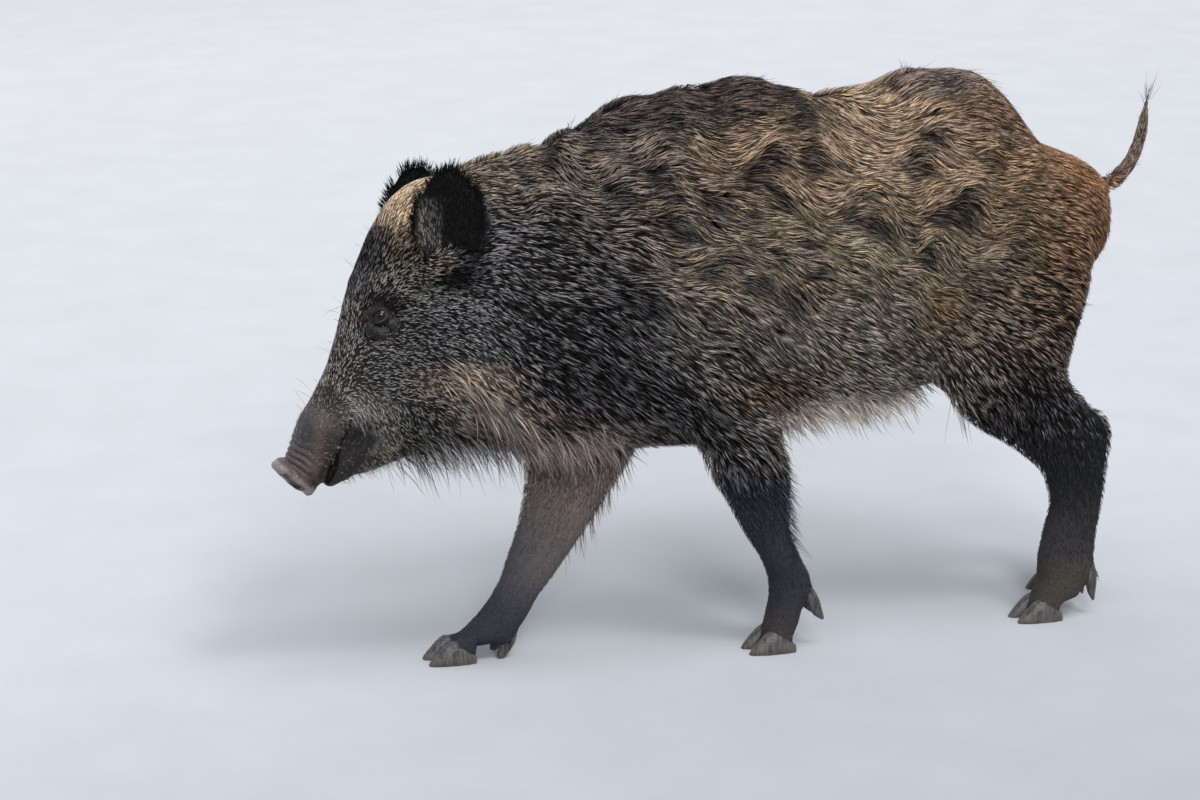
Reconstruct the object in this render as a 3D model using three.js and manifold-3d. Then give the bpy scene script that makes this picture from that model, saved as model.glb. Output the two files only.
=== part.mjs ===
// Wild boar: a still, life-size figure in a walking stance.
// Millimetres, +Z up. The head points to -X and the left side faces -Y.
// The origin lies on the floor under the middle of the figure's bounding box.
//
// Every solid reaches out to the tips of the coat. The flesh is modelled whole, as smooth lofts
// that are joined, and is then parted into named pieces by thin cuts.

import * as THREE from 'three';
import { mergeVertices } from 'three/addons/utils/BufferGeometryUtils.js';
import Module from 'manifold-3d';

const wasm = await Module();
wasm.setup();

// ---------------------------------------------------------------- driving dimensions

const GAP = 0.3; // clear space between neighbouring pieces
const HALF_CHEST = 148; // half width of the barrel over the coat
const HALF_CHEEK = 92; // half width of the head at the cheeks
const HEAD_LEAN = 26.3; // the head's long axis leans this many degrees from upright
const NOSE = [-396, 0, 277]; // the zero of the head's own levels, behind the nose disc
const DISC_CENTRE = [-396, 0, 280];
const DISC_DIP = 48; // the nose disc faces this many degrees below level
const EYE_LEVEL = 228; // eye above the nose disc, along the head's axis
const EYE_SPREAD = 51; // eye centre from the mid-plane
const EYEBALL_RADIUS = 12;
const HOOF_LENGTH = 62;
const HOOF_HEIGHT = 34;
const HOOF_HALF_WIDTH = 12.5;
const TOE_SPREAD = 13.5; // toe centre from the middle of the foot
const TAIL_RADIUS = 11;

// Body sections, each upright across the X axis:
// x, top, bottom, half width / HALF_CHEST, height of the widest level as a share, roundness above
const BODY = [
  [-296, 462, 316, 0.24, 0.5, 2.0],
  [-270, 554, 287, 0.44, 0.5, 2.0],
  [-235, 614, 286, 0.59, 0.5, 2.0],
  [-190, 651, 294, 0.69, 0.48, 2.0],
  [-140, 663, 290, 0.76, 0.47, 1.95],
  [-80, 674, 282, 0.83, 0.46, 1.9],
  [-20, 696, 275, 0.9, 0.45, 1.85],
  [40, 719, 269, 0.95, 0.44, 1.8],
  [110, 730, 267, 0.98, 0.44, 1.8],
  [185, 736, 271, 1.0, 0.44, 1.85],
  [245, 729, 280, 1.0, 0.45, 1.85],
  [300, 708, 290, 1.0, 0.46, 1.9],
  [345, 711, 288, 0.98, 0.47, 1.9],
  [402, 729, 304, 0.96, 0.48, 1.85],
  [455, 737, 338, 0.94, 0.5, 1.85],
  [505, 729, 362, 0.92, 0.48, 1.9],
  [545, 694, 394, 0.89, 0.48, 2.0],
  [582, 636, 419, 0.85, 0.48, 2.1],
  [622, 621, 439, 0.77, 0.48, 2.1],
  [656, 607, 456, 0.61, 0.48, 2.1],
  [682, 588, 474, 0.38, 0.48, 2.0],
  [698, 567, 502, 0.15, 0.48, 2.0],
];

// Head sections in the head's own frame, square to its axis:
// level above the nose, front (negative is forehead side), back, half width / HALF_CHEEK, roundness
const HEAD = [
  [2, -16, 21, 0.32, 2.1],
  [18, -17, 26, 0.37, 2.2],
  [42, -21, 30, 0.4, 2.3],
  [68, -23, 40, 0.43, 2.4],
  [98, -20, 62, 0.5, 2.4],
  [135, -18, 92, 0.6, 2.3],
  [180, -24, 118, 0.71, 2.3],
  [225, -34, 138, 0.82, 2.3],
  [270, -38, 152, 0.94, 2.2],
  [310, -40, 160, 1.0, 2.1],
  [350, -36, 160, 0.97, 2.0],
  [385, -22, 150, 0.84, 2.0],
  [412, 8, 130, 0.5, 2.0],
];

// Lower jaw in the same frame, from the lip to the angle of the jaw.
const JAW = [
  [3, 29, 38, 0.2, 2.2],
  [14, 27, 50, 0.28, 2.3],
  [30, 26, 68, 0.33, 2.3],
  [50, 25, 96, 0.4, 2.2],
  [78, 26, 130, 0.5, 2.1],
  [112, 28, 160, 0.62, 2.1],
  [150, 40, 172, 0.7, 2.0],
  [190, 60, 165, 0.66, 2.0],
];

// Leg sections, each level: height, front x, back x, y from the mid-plane, half width, roundness
const FORE_LEFT = [
  [444, 85, 215, 72, 44, 2.0],
  [364, 72, 222, 90, 48, 2.0],
  [294, 86, 219, 88, 45, 2.1],
  [245, 118, 229, 77, 37, 2.1],
  [200, 146, 233, 66, 31, 2.1],
  [158, 173, 238, 57, 27, 2.2],
  [124, 197, 252, 53, 26, 2.3],
  [95, 209, 268, 51, 25, 2.3],
  [70, 212, 262, 50, 25, 2.3],
  [48, 209, 253, 49, 26, 2.4],
  [26, 202, 248, 49, 25, 2.5],
];
const FORE_RIGHT = [
  [444, -62, 85, 72, 44, 2.0],
  [364, -80, 94, 90, 48, 2.0],
  [294, -85, 94, 87, 46, 2.1],
  [252, -79, 82, 77, 40, 2.1],
  [206, -83, 47, 66, 32, 2.1],
  [160, -95, 8, 57, 28, 2.2],
  [130, -107, -19, 53, 26, 2.3],
  [100, -117, -43, 51, 25, 2.3],
  [74, -131, -68, 50, 25, 2.3],
  [53, -149, -80, 49, 26, 2.4],
  [30, -174, -98, 49, 26, 2.5],
];
const HIND_LEFT = [
  [584, 520, 630, 56, 50, 2.0],
  [514, 462, 650, 74, 60, 2.0],
  [444, 430, 640, 80, 60, 2.0],
  [384, 420, 620, 85, 56, 2.0],
  [339, 420, 612, 82, 50, 2.0],
  [306, 440, 634, 75, 42, 2.0],
  [275, 476, 684, 67, 36, 2.0],
  [239, 538, 692, 61, 31, 2.1],
  [200, 588, 686, 57, 28, 2.2],
  [156, 605, 681, 54, 27, 2.3],
  [118, 596, 675, 52, 26, 2.3],
  [84, 590, 672, 51, 26, 2.3],
  [57, 594, 662, 51, 26, 2.3],
  [38, 587, 655, 51, 26, 2.4],
  [24, 580, 648, 51, 25, 2.5],
];
const HIND_RIGHT = [
  [584, 520, 630, 56, 50, 2.0],
  [514, 462, 650, 74, 60, 2.0],
  [444, 432, 642, 80, 60, 2.0],
  [384, 426, 626, 85, 56, 2.0],
  [339, 434, 630, 82, 50, 2.0],
  [306, 466, 662, 75, 42, 2.0],
  [275, 516, 710, 67, 36, 2.0],
  [239, 596, 728, 60, 31, 2.1],
  [200, 648, 726, 56, 28, 2.2],
  [156, 662, 724, 53, 27, 2.3],
  [118, 661, 720, 52, 26, 2.3],
  [84, 655, 716, 51, 25, 2.3],
  [57, 649, 708, 51, 25, 2.3],
  [38, 644, 700, 51, 25, 2.4],
  [24, 642, 692, 51, 24, 2.5],
];

// Where each foot stands: side, y of its middle, tip of the hoof (x), and the root (x, height)
// and lean of its two dewclaws.
const FEET = {
  fore_left: { side: -1, y: 49, tip: 180, dew: [258, 82], lean: -24 },
  fore_right: { side: 1, y: 49, tip: -217, dew: [-104, 38], lean: 46 },
  hind_left: { side: -1, y: 51, tip: 558, dew: [661, 72], lean: 4 },
  hind_right: { side: 1, y: 51, tip: 634, dew: [704, 72], lean: 4 },
};

// Tail centre line: x, y, z, radius / TAIL_RADIUS
const TAIL = [
  [668, 0, 560, 1.3],
  [704, 0, 567, 1.25],
  [727, 0, 583, 1.1],
  [742, 0, 610, 1.0],
  [749, 0, 640, 0.9],
  [752, 0, 662, 0.6],
  [757, 0, 684, 0.12],
];

// Ears: height, half width at the widest, thickness, hollow of the cup
const EAR = { length: 152, halfWidth: 42, halfThick: 7, cup: 16 };
// level share, half width share, thickness share
const EAR_OUTLINE = [
  [0, 0.5, 1.7],
  [0.16, 0.7, 1.5],
  [0.34, 0.92, 1.15],
  [0.54, 1.0, 1.0],
  [0.72, 0.9, 0.9],
  [0.86, 0.68, 0.8],
  [0.95, 0.42, 0.65],
  [1.0, 0.16, 0.4],
];

// ---------------------------------------------------------------- smooth tables and lofts

/** A value on the curve through b and c, with a and d beyond them. */
function catmullRom(a, b, c, d, t) {
  const slopeIn = (c - a) / 2;
  const slopeOut = (d - b) / 2;
  const bend = 2 * b - 2 * c + slopeIn + slopeOut;
  const turn = -3 * b + 3 * c - 2 * slopeIn - slopeOut;
  return ((bend * t + turn) * t + slopeIn) * t + b;
}

/** Rows of a table made finer by a smooth curve through every column. */
function smoothRows(rows, perSpan) {
  const last = rows.length - 1;
  const out = [];
  for (let i = 0; i < last; i += 1) {
    const before = rows[Math.max(i - 1, 0)];
    const after = rows[Math.min(i + 2, last)];
    for (let k = 0; k < perSpan; k += 1) {
      const t = k / perSpan;
      out.push(rows[i].map((v, j) => catmullRom(before[j], v, rows[i + 1][j], after[j], t)));
    }
  }
  out.push(rows[last]);
  return out;
}

/** Sine or cosine with its corner sharpened or rounded: 2 is an ellipse, more is boxier. */
function rounded(value, roundness) {
  return Math.sign(value) * Math.abs(value) ** (2 / roundness);
}

/** One closed ring: centre, two half axes across, one up and one down, and its roundness. */
function ring(centre, side, up, half, high, low, roundUp, roundDown, sides) {
  const points = [];
  for (let i = 0; i < sides; i += 1) {
    const angle = (2 * Math.PI * (i + 0.5)) / sides;
    const roundness = Math.sin(angle) > 0 ? roundUp : roundDown;
    const across = half * rounded(Math.cos(angle), roundness);
    const rise = rounded(Math.sin(angle), roundness) * (Math.sin(angle) > 0 ? high : low);
    points.push(centre.clone().addScaledVector(side, across).addScaledVector(up, rise));
  }
  return points;
}

/** A closed body through a list of rings of equal size, with fans over its two ends. */
function skinRings(rings) {
  const sides = rings[0].length;
  const points = rings.flat();
  const faces = [];
  const quad = (a, b, c, d) => faces.push(a, b, c, a, c, d);
  for (let r = 0; r + 1 < rings.length; r += 1) {
    for (let i = 0; i < sides; i += 1) {
      const next = (i + 1) % sides;
      quad(r * sides + i, r * sides + next, (r + 1) * sides + next, (r + 1) * sides + i);
    }
  }
  for (const [first, flip] of [[0, true], [(rings.length - 1) * sides, false]]) {
    const middle = points.length;
    const end = points.slice(first, first + sides);
    points.push(end.reduce((sum, p) => sum.add(p), new THREE.Vector3()).divideScalar(sides));
    for (let i = 0; i < sides; i += 1) {
      const a = first + i;
      const b = first + ((i + 1) % sides);
      faces.push(...(flip ? [b, a, middle] : [a, b, middle]));
    }
  }
  const geometry = new THREE.BufferGeometry().setFromPoints(points);
  geometry.setIndex(signedVolume(points, faces) < 0 ? faces.reverse() : faces);
  return geometry;
}

/** Six times the volume that the faces enclose: negative when they point inwards. */
function signedVolume(points, faces) {
  let sum = 0;
  for (let i = 0; i < faces.length; i += 3) {
    const [a, b, c] = [points[faces[i]], points[faces[i + 1]], points[faces[i + 2]]];
    sum += a.dot(new THREE.Vector3().crossVectors(b, c));
  }
  return sum;
}

const ALONG_X = new THREE.Vector3(1, 0, 0);
const ALONG_Y = new THREE.Vector3(0, 1, 0);
const ALONG_Z = new THREE.Vector3(0, 0, 1);

/** A loft of upright sections along X, from rows like those of BODY. */
function uprightLoft(rows, perSpan, sides) {
  const rings = smoothRows(rows, perSpan).map(([x, top, bottom, half, widest, roundUp]) => {
    const middle = bottom + (top - bottom) * widest;
    const centre = new THREE.Vector3(x, 0, middle);
    return ring(centre, ALONG_Y, ALONG_Z, half * HALF_CHEST, top - middle, middle - bottom,
      roundUp, 2.2, sides);
  });
  return skinRings(rings);
}

/** A loft of level sections: rows hold height, front x, back x, y, half width, roundness. */
function levelLoft(rows, perSpan, sides) {
  const rings = smoothRows(rows, perSpan).map(([height, front, back, y, half, roundness]) => {
    const centre = new THREE.Vector3((front + back) / 2, y, height);
    const reach = (back - front) / 2;
    return ring(centre, ALONG_Y, ALONG_X, half, reach, reach, roundness, roundness, sides);
  });
  return skinRings(rings);
}

// ---------------------------------------------------------------- booleans

/** A three.js geometry as a solid that can be joined and cut. */
function toSolid(geometry) {
  const bare = geometry.clone();
  bare.deleteAttribute('normal');
  bare.deleteAttribute('uv');
  const merged = mergeVertices(bare, 1e-4);
  const vertProperties = Float32Array.from(merged.attributes.position.array);
  const triVerts = Uint32Array.from(merged.index.array);
  return new wasm.Manifold(new wasm.Mesh({ numProp: 3, vertProperties, triVerts }));
}

/** A solid back as a three.js geometry. */
function toGeometry(solid) {
  const mesh = solid.getMesh();
  const geometry = new THREE.BufferGeometry();
  geometry.setAttribute('position', new THREE.BufferAttribute(mesh.vertProperties, 3));
  geometry.setIndex(new THREE.BufferAttribute(mesh.triVerts, 1));
  return geometry;
}

/** A box turned by `lean` degrees about Y and centred at `middle`. */
function box(size, middle, lean = 0) {
  const turn = new THREE.Matrix4().makeRotationY(THREE.MathUtils.degToRad(lean));
  return new THREE.BoxGeometry(...size).applyMatrix4(turn).translate(...middle);
}

/** Parts a solid by a box: what lies in the box, and the rest, with a gap between them. */
function carve(solid, size, middle, lean = 0) {
  const inside = toSolid(box(size, middle, lean));
  const wider = toSolid(box(size.map((side) => side + 2 * GAP), middle, lean));
  return [solid.intersect(inside), solid.subtract(wider)];
}

/** The largest connected body of a solid, without the slivers that a cut may leave. */
function largestBody(solid) {
  return solid.decompose().reduce((best, body) => (body.volume() > best.volume() ? body : best));
}

/** A geometry made a little larger about its own middle, as a cutter that leaves a gap. */
function grown(geometry) {
  geometry.computeBoundingBox();
  const middle = geometry.boundingBox.getCenter(new THREE.Vector3());
  const size = geometry.boundingBox.getSize(new THREE.Vector3());
  const least = Math.min(size.x, size.y, size.z);
  const scale = 1 + (2.4 * GAP) / least;
  return geometry.clone().translate(-middle.x, -middle.y, -middle.z)
    .scale(scale, scale, scale).translate(middle.x, middle.y, middle.z);
}

// ---------------------------------------------------------------- head

const headTurn = new THREE.Matrix4().makeRotationY(THREE.MathUtils.degToRad(HEAD_LEAN));
const headPlace = new THREE.Matrix4().makeTranslation(...NOSE).multiply(headTurn);

const discDip = THREE.MathUtils.degToRad(DISC_DIP);
const discOut = new THREE.Vector3(-Math.cos(discDip), 0, -Math.sin(discDip));

/** A point of the head's own frame (back of the forehead line, side, level) in the figure's frame. */
function headPoint(back, side, level) {
  return new THREE.Vector3(back, side, level).applyMatrix4(headPlace);
}

/** Rows of the head's tables as rows for a level loft. */
function headRows(rows) {
  return rows.map(([level, front, back, share, roundness]) => [
    level, front, back, 0, share * HALF_CHEEK, roundness,
  ]);
}

/** Skull, cheeks and upper muzzle. */
function skullGeometry() {
  return levelLoft(headRows(HEAD), 1, 20).applyMatrix4(headPlace);
}

/** Lower lip, chin and jaw. */
function jawGeometry() {
  return levelLoft(headRows(JAW), 1, 14).applyMatrix4(headPlace);
}

/** The flat disc at the end of the snout, tilted up against the head's axis. */
function noseDiscGeometry() {
  const half = { across: 38, tall: 30 };
  const profile = [[0, 13], [0.72, 12], [0.98, 10], [1.0, 5], [0.9, -4], [0.78, -14], [0, -16]];
  const disc = new THREE.LatheGeometry(profile.map(([r, h]) => new THREE.Vector2(r, h)).reverse(), 18);
  disc.rotateX(Math.PI / 2).scale(half.across, half.tall, 1);
  // local Z now runs out of the nostrils, X across and Y up: stand it up and tilt it down
  const up = new THREE.Vector3().crossVectors(discOut, ALONG_Y);
  return disc.applyMatrix4(new THREE.Matrix4().makeBasis(ALONG_Y, up, discOut).setPosition(...DISC_CENTRE));
}

/** The two nostril pits in the disc, as cutters. */
function nostrilGeometries() {
  const centre = new THREE.Vector3(...DISC_CENTRE).addScaledVector(discOut, 13);
  return [-1, 1].map((side) => new THREE.SphereGeometry(1, 8, 5)
    .scale(12, 5.5, 8).translate(centre.x, 15.5 * side, centre.z));
}

/** An eyeball, set in the side of the head. */
function eyeballGeometry(side, radius = EYEBALL_RADIUS) {
  const centre = headPoint(-3.5, side * EYE_SPREAD, EYE_LEVEL);
  return new THREE.SphereGeometry(radius, 12, 8).translate(...centre.toArray());
}

/**
 * A cupped, leaf-shaped ear on one side of the head. `foot` is its root on the left side, `fold`
 * turns its hollow forwards and `back` and `out` tilt it, in degrees. `extra` makes it fatter.
 */
function earGeometry({ side, foot, fold, back, out }, extra = 0) {
  const { length, halfWidth, halfThick, cup } = EAR;
  const sides = 12;
  const rings = smoothRows(EAR_OUTLINE, 1).map(([level, widthShare, thickShare]) => {
    const half = widthShare * halfWidth;
    const thick = thickShare * halfThick + extra;
    return Array.from({ length: sides }, (_, i) => {
      const angle = (2 * Math.PI * (i + 0.5)) / sides;
      const along = (half + extra) * Math.cos(angle);
      const hollow = cup * widthShare * ((along / half) ** 2 - 0.4);
      return new THREE.Vector3(along, thick * Math.sin(angle) - hollow, level * length);
    });
  });
  const [x, y, z] = [out, back, fold].map(THREE.MathUtils.degToRad);
  const turn = new THREE.Matrix4().makeRotationFromEuler(new THREE.Euler(x, y, z, 'YXZ'));
  const geometry = skinRings(rings).applyMatrix4(turn).translate(...foot);
  return side > 0 ? mirrored(geometry) : geometry;
}

/** A geometry mirrored in the mid-plane, with its faces turned to point out again. */
function mirrored(geometry) {
  const copy = geometry.clone().scale(1, -1, 1);
  copy.setIndex(Array.from(copy.index.array).reverse());
  return copy;
}

// ---------------------------------------------------------------- trunk, tail and legs

/** Tail: a tapering tube that leaves the croup, bends and rises to its tassel. */
function tailGeometry() {
  const rows = smoothRows(TAIL, 2);
  const rings = rows.map(([x, y, z, share], i) => {
    const before = rows[Math.max(i - 1, 0)];
    const after = rows[Math.min(i + 1, rows.length - 1)];
    const along = new THREE.Vector3(after[0] - before[0], 0, after[2] - before[2]).normalize();
    const across = new THREE.Vector3().crossVectors(ALONG_Y, along);
    const radius = share * TAIL_RADIUS;
    return ring(new THREE.Vector3(x, y, z), ALONG_Y, across, radius, radius, radius, 2, 2, 8);
  });
  return skinRings(rings);
}

/** The rows of a leg moved to its own side of the body. */
function legRows(rows, side) {
  return rows.map(([height, front, back, y, ...rest]) => [height, front, back, side * y, ...rest]);
}

/** One toe's hoof: a wedge with a flat sole, from the tip (at x = 0) back to the heel. */
function toeGeometry() {
  // share of the length, height share, half width share
  const rows = [
    [0, 0.1, 0.3],
    [0.12, 0.34, 0.62],
    [0.34, 0.74, 0.9],
    [0.56, 1.0, 1.0],
    [0.8, 0.86, 0.98],
    [0.95, 0.5, 0.84],
    [1.0, 0.24, 0.6],
  ];
  const rings = rows.map(([along, tall, wide]) => {
    const half = wide * HOOF_HALF_WIDTH;
    const high = tall * HOOF_HEIGHT;
    const outline = [[-0.86, 0], [0.86, 0], [1, 0.22], [0.9, 0.6], [0.55, 0.92], [0, 1],
      [-0.55, 0.92], [-0.9, 0.6], [-1, 0.22]];
    return outline.map(([u, v]) => new THREE.Vector3(along * HOOF_LENGTH, u * half, v * high));
  });
  return skinRings(rings);
}

/** A dewclaw: a short blunt horn that hangs behind the foot. */
function dewclawGeometry() {
  const rows = [[0, 0, 0.6], [8, 1, 1], [18, 2, 0.95], [29, 4, 0.65], [38, 8, 0.2]];
  const rings = rows.map(([down, back, share]) => {
    const centre = new THREE.Vector3(back, 0, -down);
    return ring(centre, ALONG_Y, ALONG_X, 7 * share, 8.5 * share, 8.5 * share, 2, 2, 6);
  });
  return skinRings(rings);
}

/** The four horn pieces of one foot, by name. */
function hornOfFoot(name, { side, y: middle, tip, dew, lean }) {
  const pieces = {};
  for (const [place, sign] of [['inner', -1], ['outer', 1]]) {
    const y = side * (middle + sign * TOE_SPREAD);
    pieces[`hoof_${name}_${place}`] = toeGeometry()
      .rotateZ(THREE.MathUtils.degToRad(side * sign * 2))
      .translate(tip, y, 0);
    pieces[`dewclaw_${name}_${place}`] = dewclawGeometry()
      .rotateY(THREE.MathUtils.degToRad(lean))
      .translate(dew[0], side * (middle + sign * (TOE_SPREAD + 2)), dew[1]);
  }
  return pieces;
}

// ---------------------------------------------------------------- joining and parting the flesh

const EARS = {
  ear_left: { side: -1, foot: [-233, -82, 522], fold: 8, back: 3, out: 4 },
  ear_right: { side: 1, foot: [-208, -78, 490], fold: 26, back: 0, out: 6 },
};
const EAR_ROOT = 42; // an ear's lowest part, up to this height, belongs to the head

/** Everything of flesh in one piece, with room for horn and eyes. */
function wholeFlesh(horn) {
  let flesh = toSolid(uprightLoft(BODY, 1, 26));
  const lofts = [skullGeometry(), jawGeometry(), noseDiscGeometry(), tailGeometry()];
  lofts.push(levelLoft(legRows(FORE_LEFT, -1), 1, 12), levelLoft(legRows(FORE_RIGHT, 1), 1, 12));
  lofts.push(levelLoft(legRows(HIND_LEFT, -1), 1, 12), levelLoft(legRows(HIND_RIGHT, 1), 1, 12));
  for (const loft of lofts) flesh = flesh.add(toSolid(loft));
  const cutters = [...nostrilGeometries(), ...Object.values(horn).map((piece) => grown(piece))];
  for (const side of [-1, 1]) cutters.push(eyeballGeometry(side, EYEBALL_RADIUS + GAP));
  for (const cutter of cutters) flesh = flesh.subtract(toSolid(cutter));
  return flesh;
}

/** One ear above its root, and the same shape made fatter, to clear its neighbours. */
function earSolids(ear) {
  const reach = 200;
  const above = (drop) => toSolid(box([reach, reach, reach],
    [ear.foot[0], ear.side * -ear.foot[1], ear.foot[2] + EAR_ROOT - drop + reach / 2]));
  return [
    toSolid(earGeometry(ear)).intersect(above(0)),
    toSolid(earGeometry(ear, 3 * GAP)).intersect(above(GAP)),
  ];
}

/** The flesh parted into its named pieces. */
function partedFlesh(horn) {
  const parts = {};
  let rest = wholeFlesh(horn);
  for (const [name, ear] of Object.entries(EARS)) {
    const [piece, room] = earSolids(ear);
    parts[name] = piece;
    rest = rest.add(toSolid(earGeometry(ear))).subtract(room);
  }
  const take = (name, ...where) => {
    const [piece, others] = carve(rest, ...where);
    parts[name] = largestBody(piece);
    rest = others;
  };
  /** A box in the head's frame, from its lowest to its highest back, side and level. */
  const takeFromHead = (name, [back0, back1], [level0, level1]) => {
    const middle = headPoint((back0 + back1) / 2, 0, (level0 + level1) / 2);
    take(name, [back1 - back0, 300, level1 - level0], middle.toArray(), HEAD_LEAN);
  };
  const discMiddle = new THREE.Vector3(...DISC_CENTRE).addScaledVector(discOut, 24);
  take('nose_disc', [60, 110, 110], discMiddle.toArray(), -DISC_DIP);
  takeFromHead('lower_jaw', [25, 128], [-60, 88]);
  takeFromHead('muzzle', [-60, 24.4], [-60, 95]);
  takeFromHead('head', [-80, 118], [80, 600]);
  take('tail', [120, 60, 260], [757, 0, 660]);
  const belowElbow = { fore_left: 160, fore_right: -60 };
  for (const [leg, x] of Object.entries(belowElbow)) {
    const y = leg.endsWith('left') ? -70 : 70;
    take(`${leg}_foot`, [260, 120, 140], [x, y, 30]);
    take(`${leg}_forearm`, [260, 120, 170], [x, y, 180]);
  }
  for (const [leg, y] of [['hind_left', -70], ['hind_right', 70]]) {
    take(`${leg}_foot`, [300, 120, 150], [600, y, 40]);
    take(`${leg}_shank`, [300, 130, 190], [600, y, 205]);
  }
  take('neck', [600, 400, 800], [-380, 0, 480]);
  take('shoulders', [280, 400, 800], [60, 0, 480]);
  take('barrel', [230, 400, 800], [315, 0, 480]);
  parts.rump = largestBody(rest);
  return parts;
}

// ---------------------------------------------------------------- materials and the finished group

/** A plain finish: colour, roughness, no metal. */
const finish = (color, roughness) => new THREE.MeshStandardMaterial({ color, roughness, metalness: 0 });
const FINISHES = {
  coat: finish(0x57493b, 0.95),
  darkCoat: finish(0x2b2826, 0.95),
  bareSkin: finish(0x5a4a45, 0.6),
  horn: finish(0x5b5550, 0.55),
  eye: finish(0x1c120c, 0.1),
};
const DARK = /^(ear|fore|hind)/;
const BARE = /^(nose|muzzle|lower)/;

const boar = new THREE.Group();

/** Adds one named piece to the figure. */
function addPiece(name, geometry, material) {
  const mesh = new THREE.Mesh(geometry, material);
  mesh.name = name;
  boar.add(mesh);
}

const horn = Object.assign({}, ...Object.entries(FEET).map(([name, foot]) => hornOfFoot(name, foot)));
for (const [name, solid] of Object.entries(partedFlesh(horn))) {
  const bareOrCoat = BARE.test(name) ? FINISHES.bareSkin : FINISHES.coat;
  addPiece(name, toGeometry(solid), DARK.test(name) ? FINISHES.darkCoat : bareOrCoat);
}
for (const [name, geometry] of Object.entries(horn)) addPiece(name, geometry, FINISHES.horn);
addPiece('eye_left', eyeballGeometry(-1), FINISHES.eye);
addPiece('eye_right', eyeballGeometry(1), FINISHES.eye);

const middle = new THREE.Box3().setFromObject(boar).getCenter(new THREE.Vector3());
boar.position.set(-middle.x, -middle.y, 0);

export default boar;
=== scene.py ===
"""Looks of the standing wild boar: one skin over the flesh, a coat of solid tufts, eyes and horn.

All shapes are worked out in the figure's own millimetres (head to -X, left side to -Y, floor at
zero). Place turns them into the frame's metres when a mesh is made.
"""

import itertools
import logging
import math
from dataclasses import dataclass, field, fields
from enum import Enum

import bmesh
import bpy
import numpy as np
from mathutils import Matrix, Vector
from mathutils.bvhtree import BVHTree


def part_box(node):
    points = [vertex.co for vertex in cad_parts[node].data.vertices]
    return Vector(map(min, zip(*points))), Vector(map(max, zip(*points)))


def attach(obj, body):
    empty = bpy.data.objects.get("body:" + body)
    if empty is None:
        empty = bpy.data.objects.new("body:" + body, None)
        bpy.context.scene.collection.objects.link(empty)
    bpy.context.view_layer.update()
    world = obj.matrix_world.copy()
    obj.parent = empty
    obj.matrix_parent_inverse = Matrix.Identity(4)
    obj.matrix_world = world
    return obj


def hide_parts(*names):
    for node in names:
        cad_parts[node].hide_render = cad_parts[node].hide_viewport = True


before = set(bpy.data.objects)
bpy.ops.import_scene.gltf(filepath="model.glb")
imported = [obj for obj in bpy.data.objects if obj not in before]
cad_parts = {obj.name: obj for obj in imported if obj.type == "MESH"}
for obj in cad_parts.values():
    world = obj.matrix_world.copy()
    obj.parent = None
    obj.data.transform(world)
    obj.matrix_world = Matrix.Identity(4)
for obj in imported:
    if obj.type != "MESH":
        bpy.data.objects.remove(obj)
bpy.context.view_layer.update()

LOG = logging.getLogger("wild_boar")

Array = np.ndarray
Mesh = bpy.types.Mesh
Socket = bpy.types.NodeSocket

FLESH = (
    "ear_left", "ear_right", "nose_disc", "lower_jaw", "muzzle", "head", "neck", "shoulders",
    "barrel", "rump", "tail", "fore_left_foot", "fore_left_forearm", "fore_right_foot",
    "fore_right_forearm", "hind_left_foot", "hind_left_shank", "hind_right_foot",
    "hind_right_shank",
)

FEET = ("fore_left", "fore_right", "hind_left", "hind_right")
HORN = tuple(f"{kind}_{foot}_{toe}" for kind in ("hoof", "dewclaw") for foot in FEET for toe in ("inner", "outer"))

WELD = 2e-5  # metres between corners of a solid that are merged

# ------------------------------------------------------------------ small mathematics


def rise(value: Array, low: float, high: float) -> Array:
    """A smooth step.

    Args:
        value: Numbers to be graded.
        low: Where the step starts, 0 below it.
        high: Where the step ends, 1 above it; it may be less than `low` for a falling step.

    Returns:
        Numbers from 0 to 1, of the same shape.
    """
    t = np.clip((value - low) / (high - low), 0.0, 1.0)
    return t * t * (3.0 - 2.0 * t)


def mix(a: Array, b: Array, share: Array) -> Array:
    """Blends a and b; a share with one axis fewer is spread over the last axis.

    Args:
        a: Values at share 0.
        b: Values at share 1.
        share: Numbers from 0 to 1.

    Returns:
        The blended values.
    """
    share = np.asarray(share)
    if share.ndim and share.ndim < max(np.ndim(a), np.ndim(b)):
        share = share[..., None]
    return a + (b - a) * share


def unit(vectors: Array) -> Array:
    """Vectors of the last axis scaled to length one."""
    return vectors / np.maximum(np.linalg.norm(vectors, axis=-1, keepdims=True), 1e-9)


def dot(a: Array, b: Array) -> Array:
    """Dot products over the last axis."""
    return np.einsum("...i,...i->...", a, b)


def noise(points: Array, scale: float, seed: int) -> Array:
    """Smooth value noise.

    Args:
        points: Places, (n, 3) in millimetres.
        scale: Size of the features in millimetres.
        seed: Picks one pattern.

    Returns:
        (n,) numbers from -1 to 1.
    """
    q = points / scale + seed * 7.31
    base = np.floor(q).astype(np.int64)
    part = q - base
    part = part * part * (3.0 - 2.0 * part)
    total = np.zeros(len(points))
    for corner in itertools.product((0, 1), repeat=3):
        cell = base + np.array(corner)
        code = cell[:, 0] * 73856093 ^ cell[:, 1] * 19349663 ^ cell[:, 2] * 83492791 ^ seed * 2654435
        code = (code & 0xFFFFFFFF) * 2654435761 & 0xFFFFFFFF
        value = (code >> 12 & 0xFFFF) / 32767.5 - 1.0
        weight = np.prod(np.where(np.array(corner) == 1, part, 1.0 - part), axis=1)
        total += weight * value
    return total


def linear(red: int, green: int, blue: int) -> Array:
    """An 8-bit display colour as scene-linear light."""
    c = np.array([red, green, blue]) / 255.0
    return np.where(c <= 0.04045, c / 12.92, ((c + 0.055) / 1.055) ** 2.4)


# ------------------------------------------------------------------ anatomy


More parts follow.
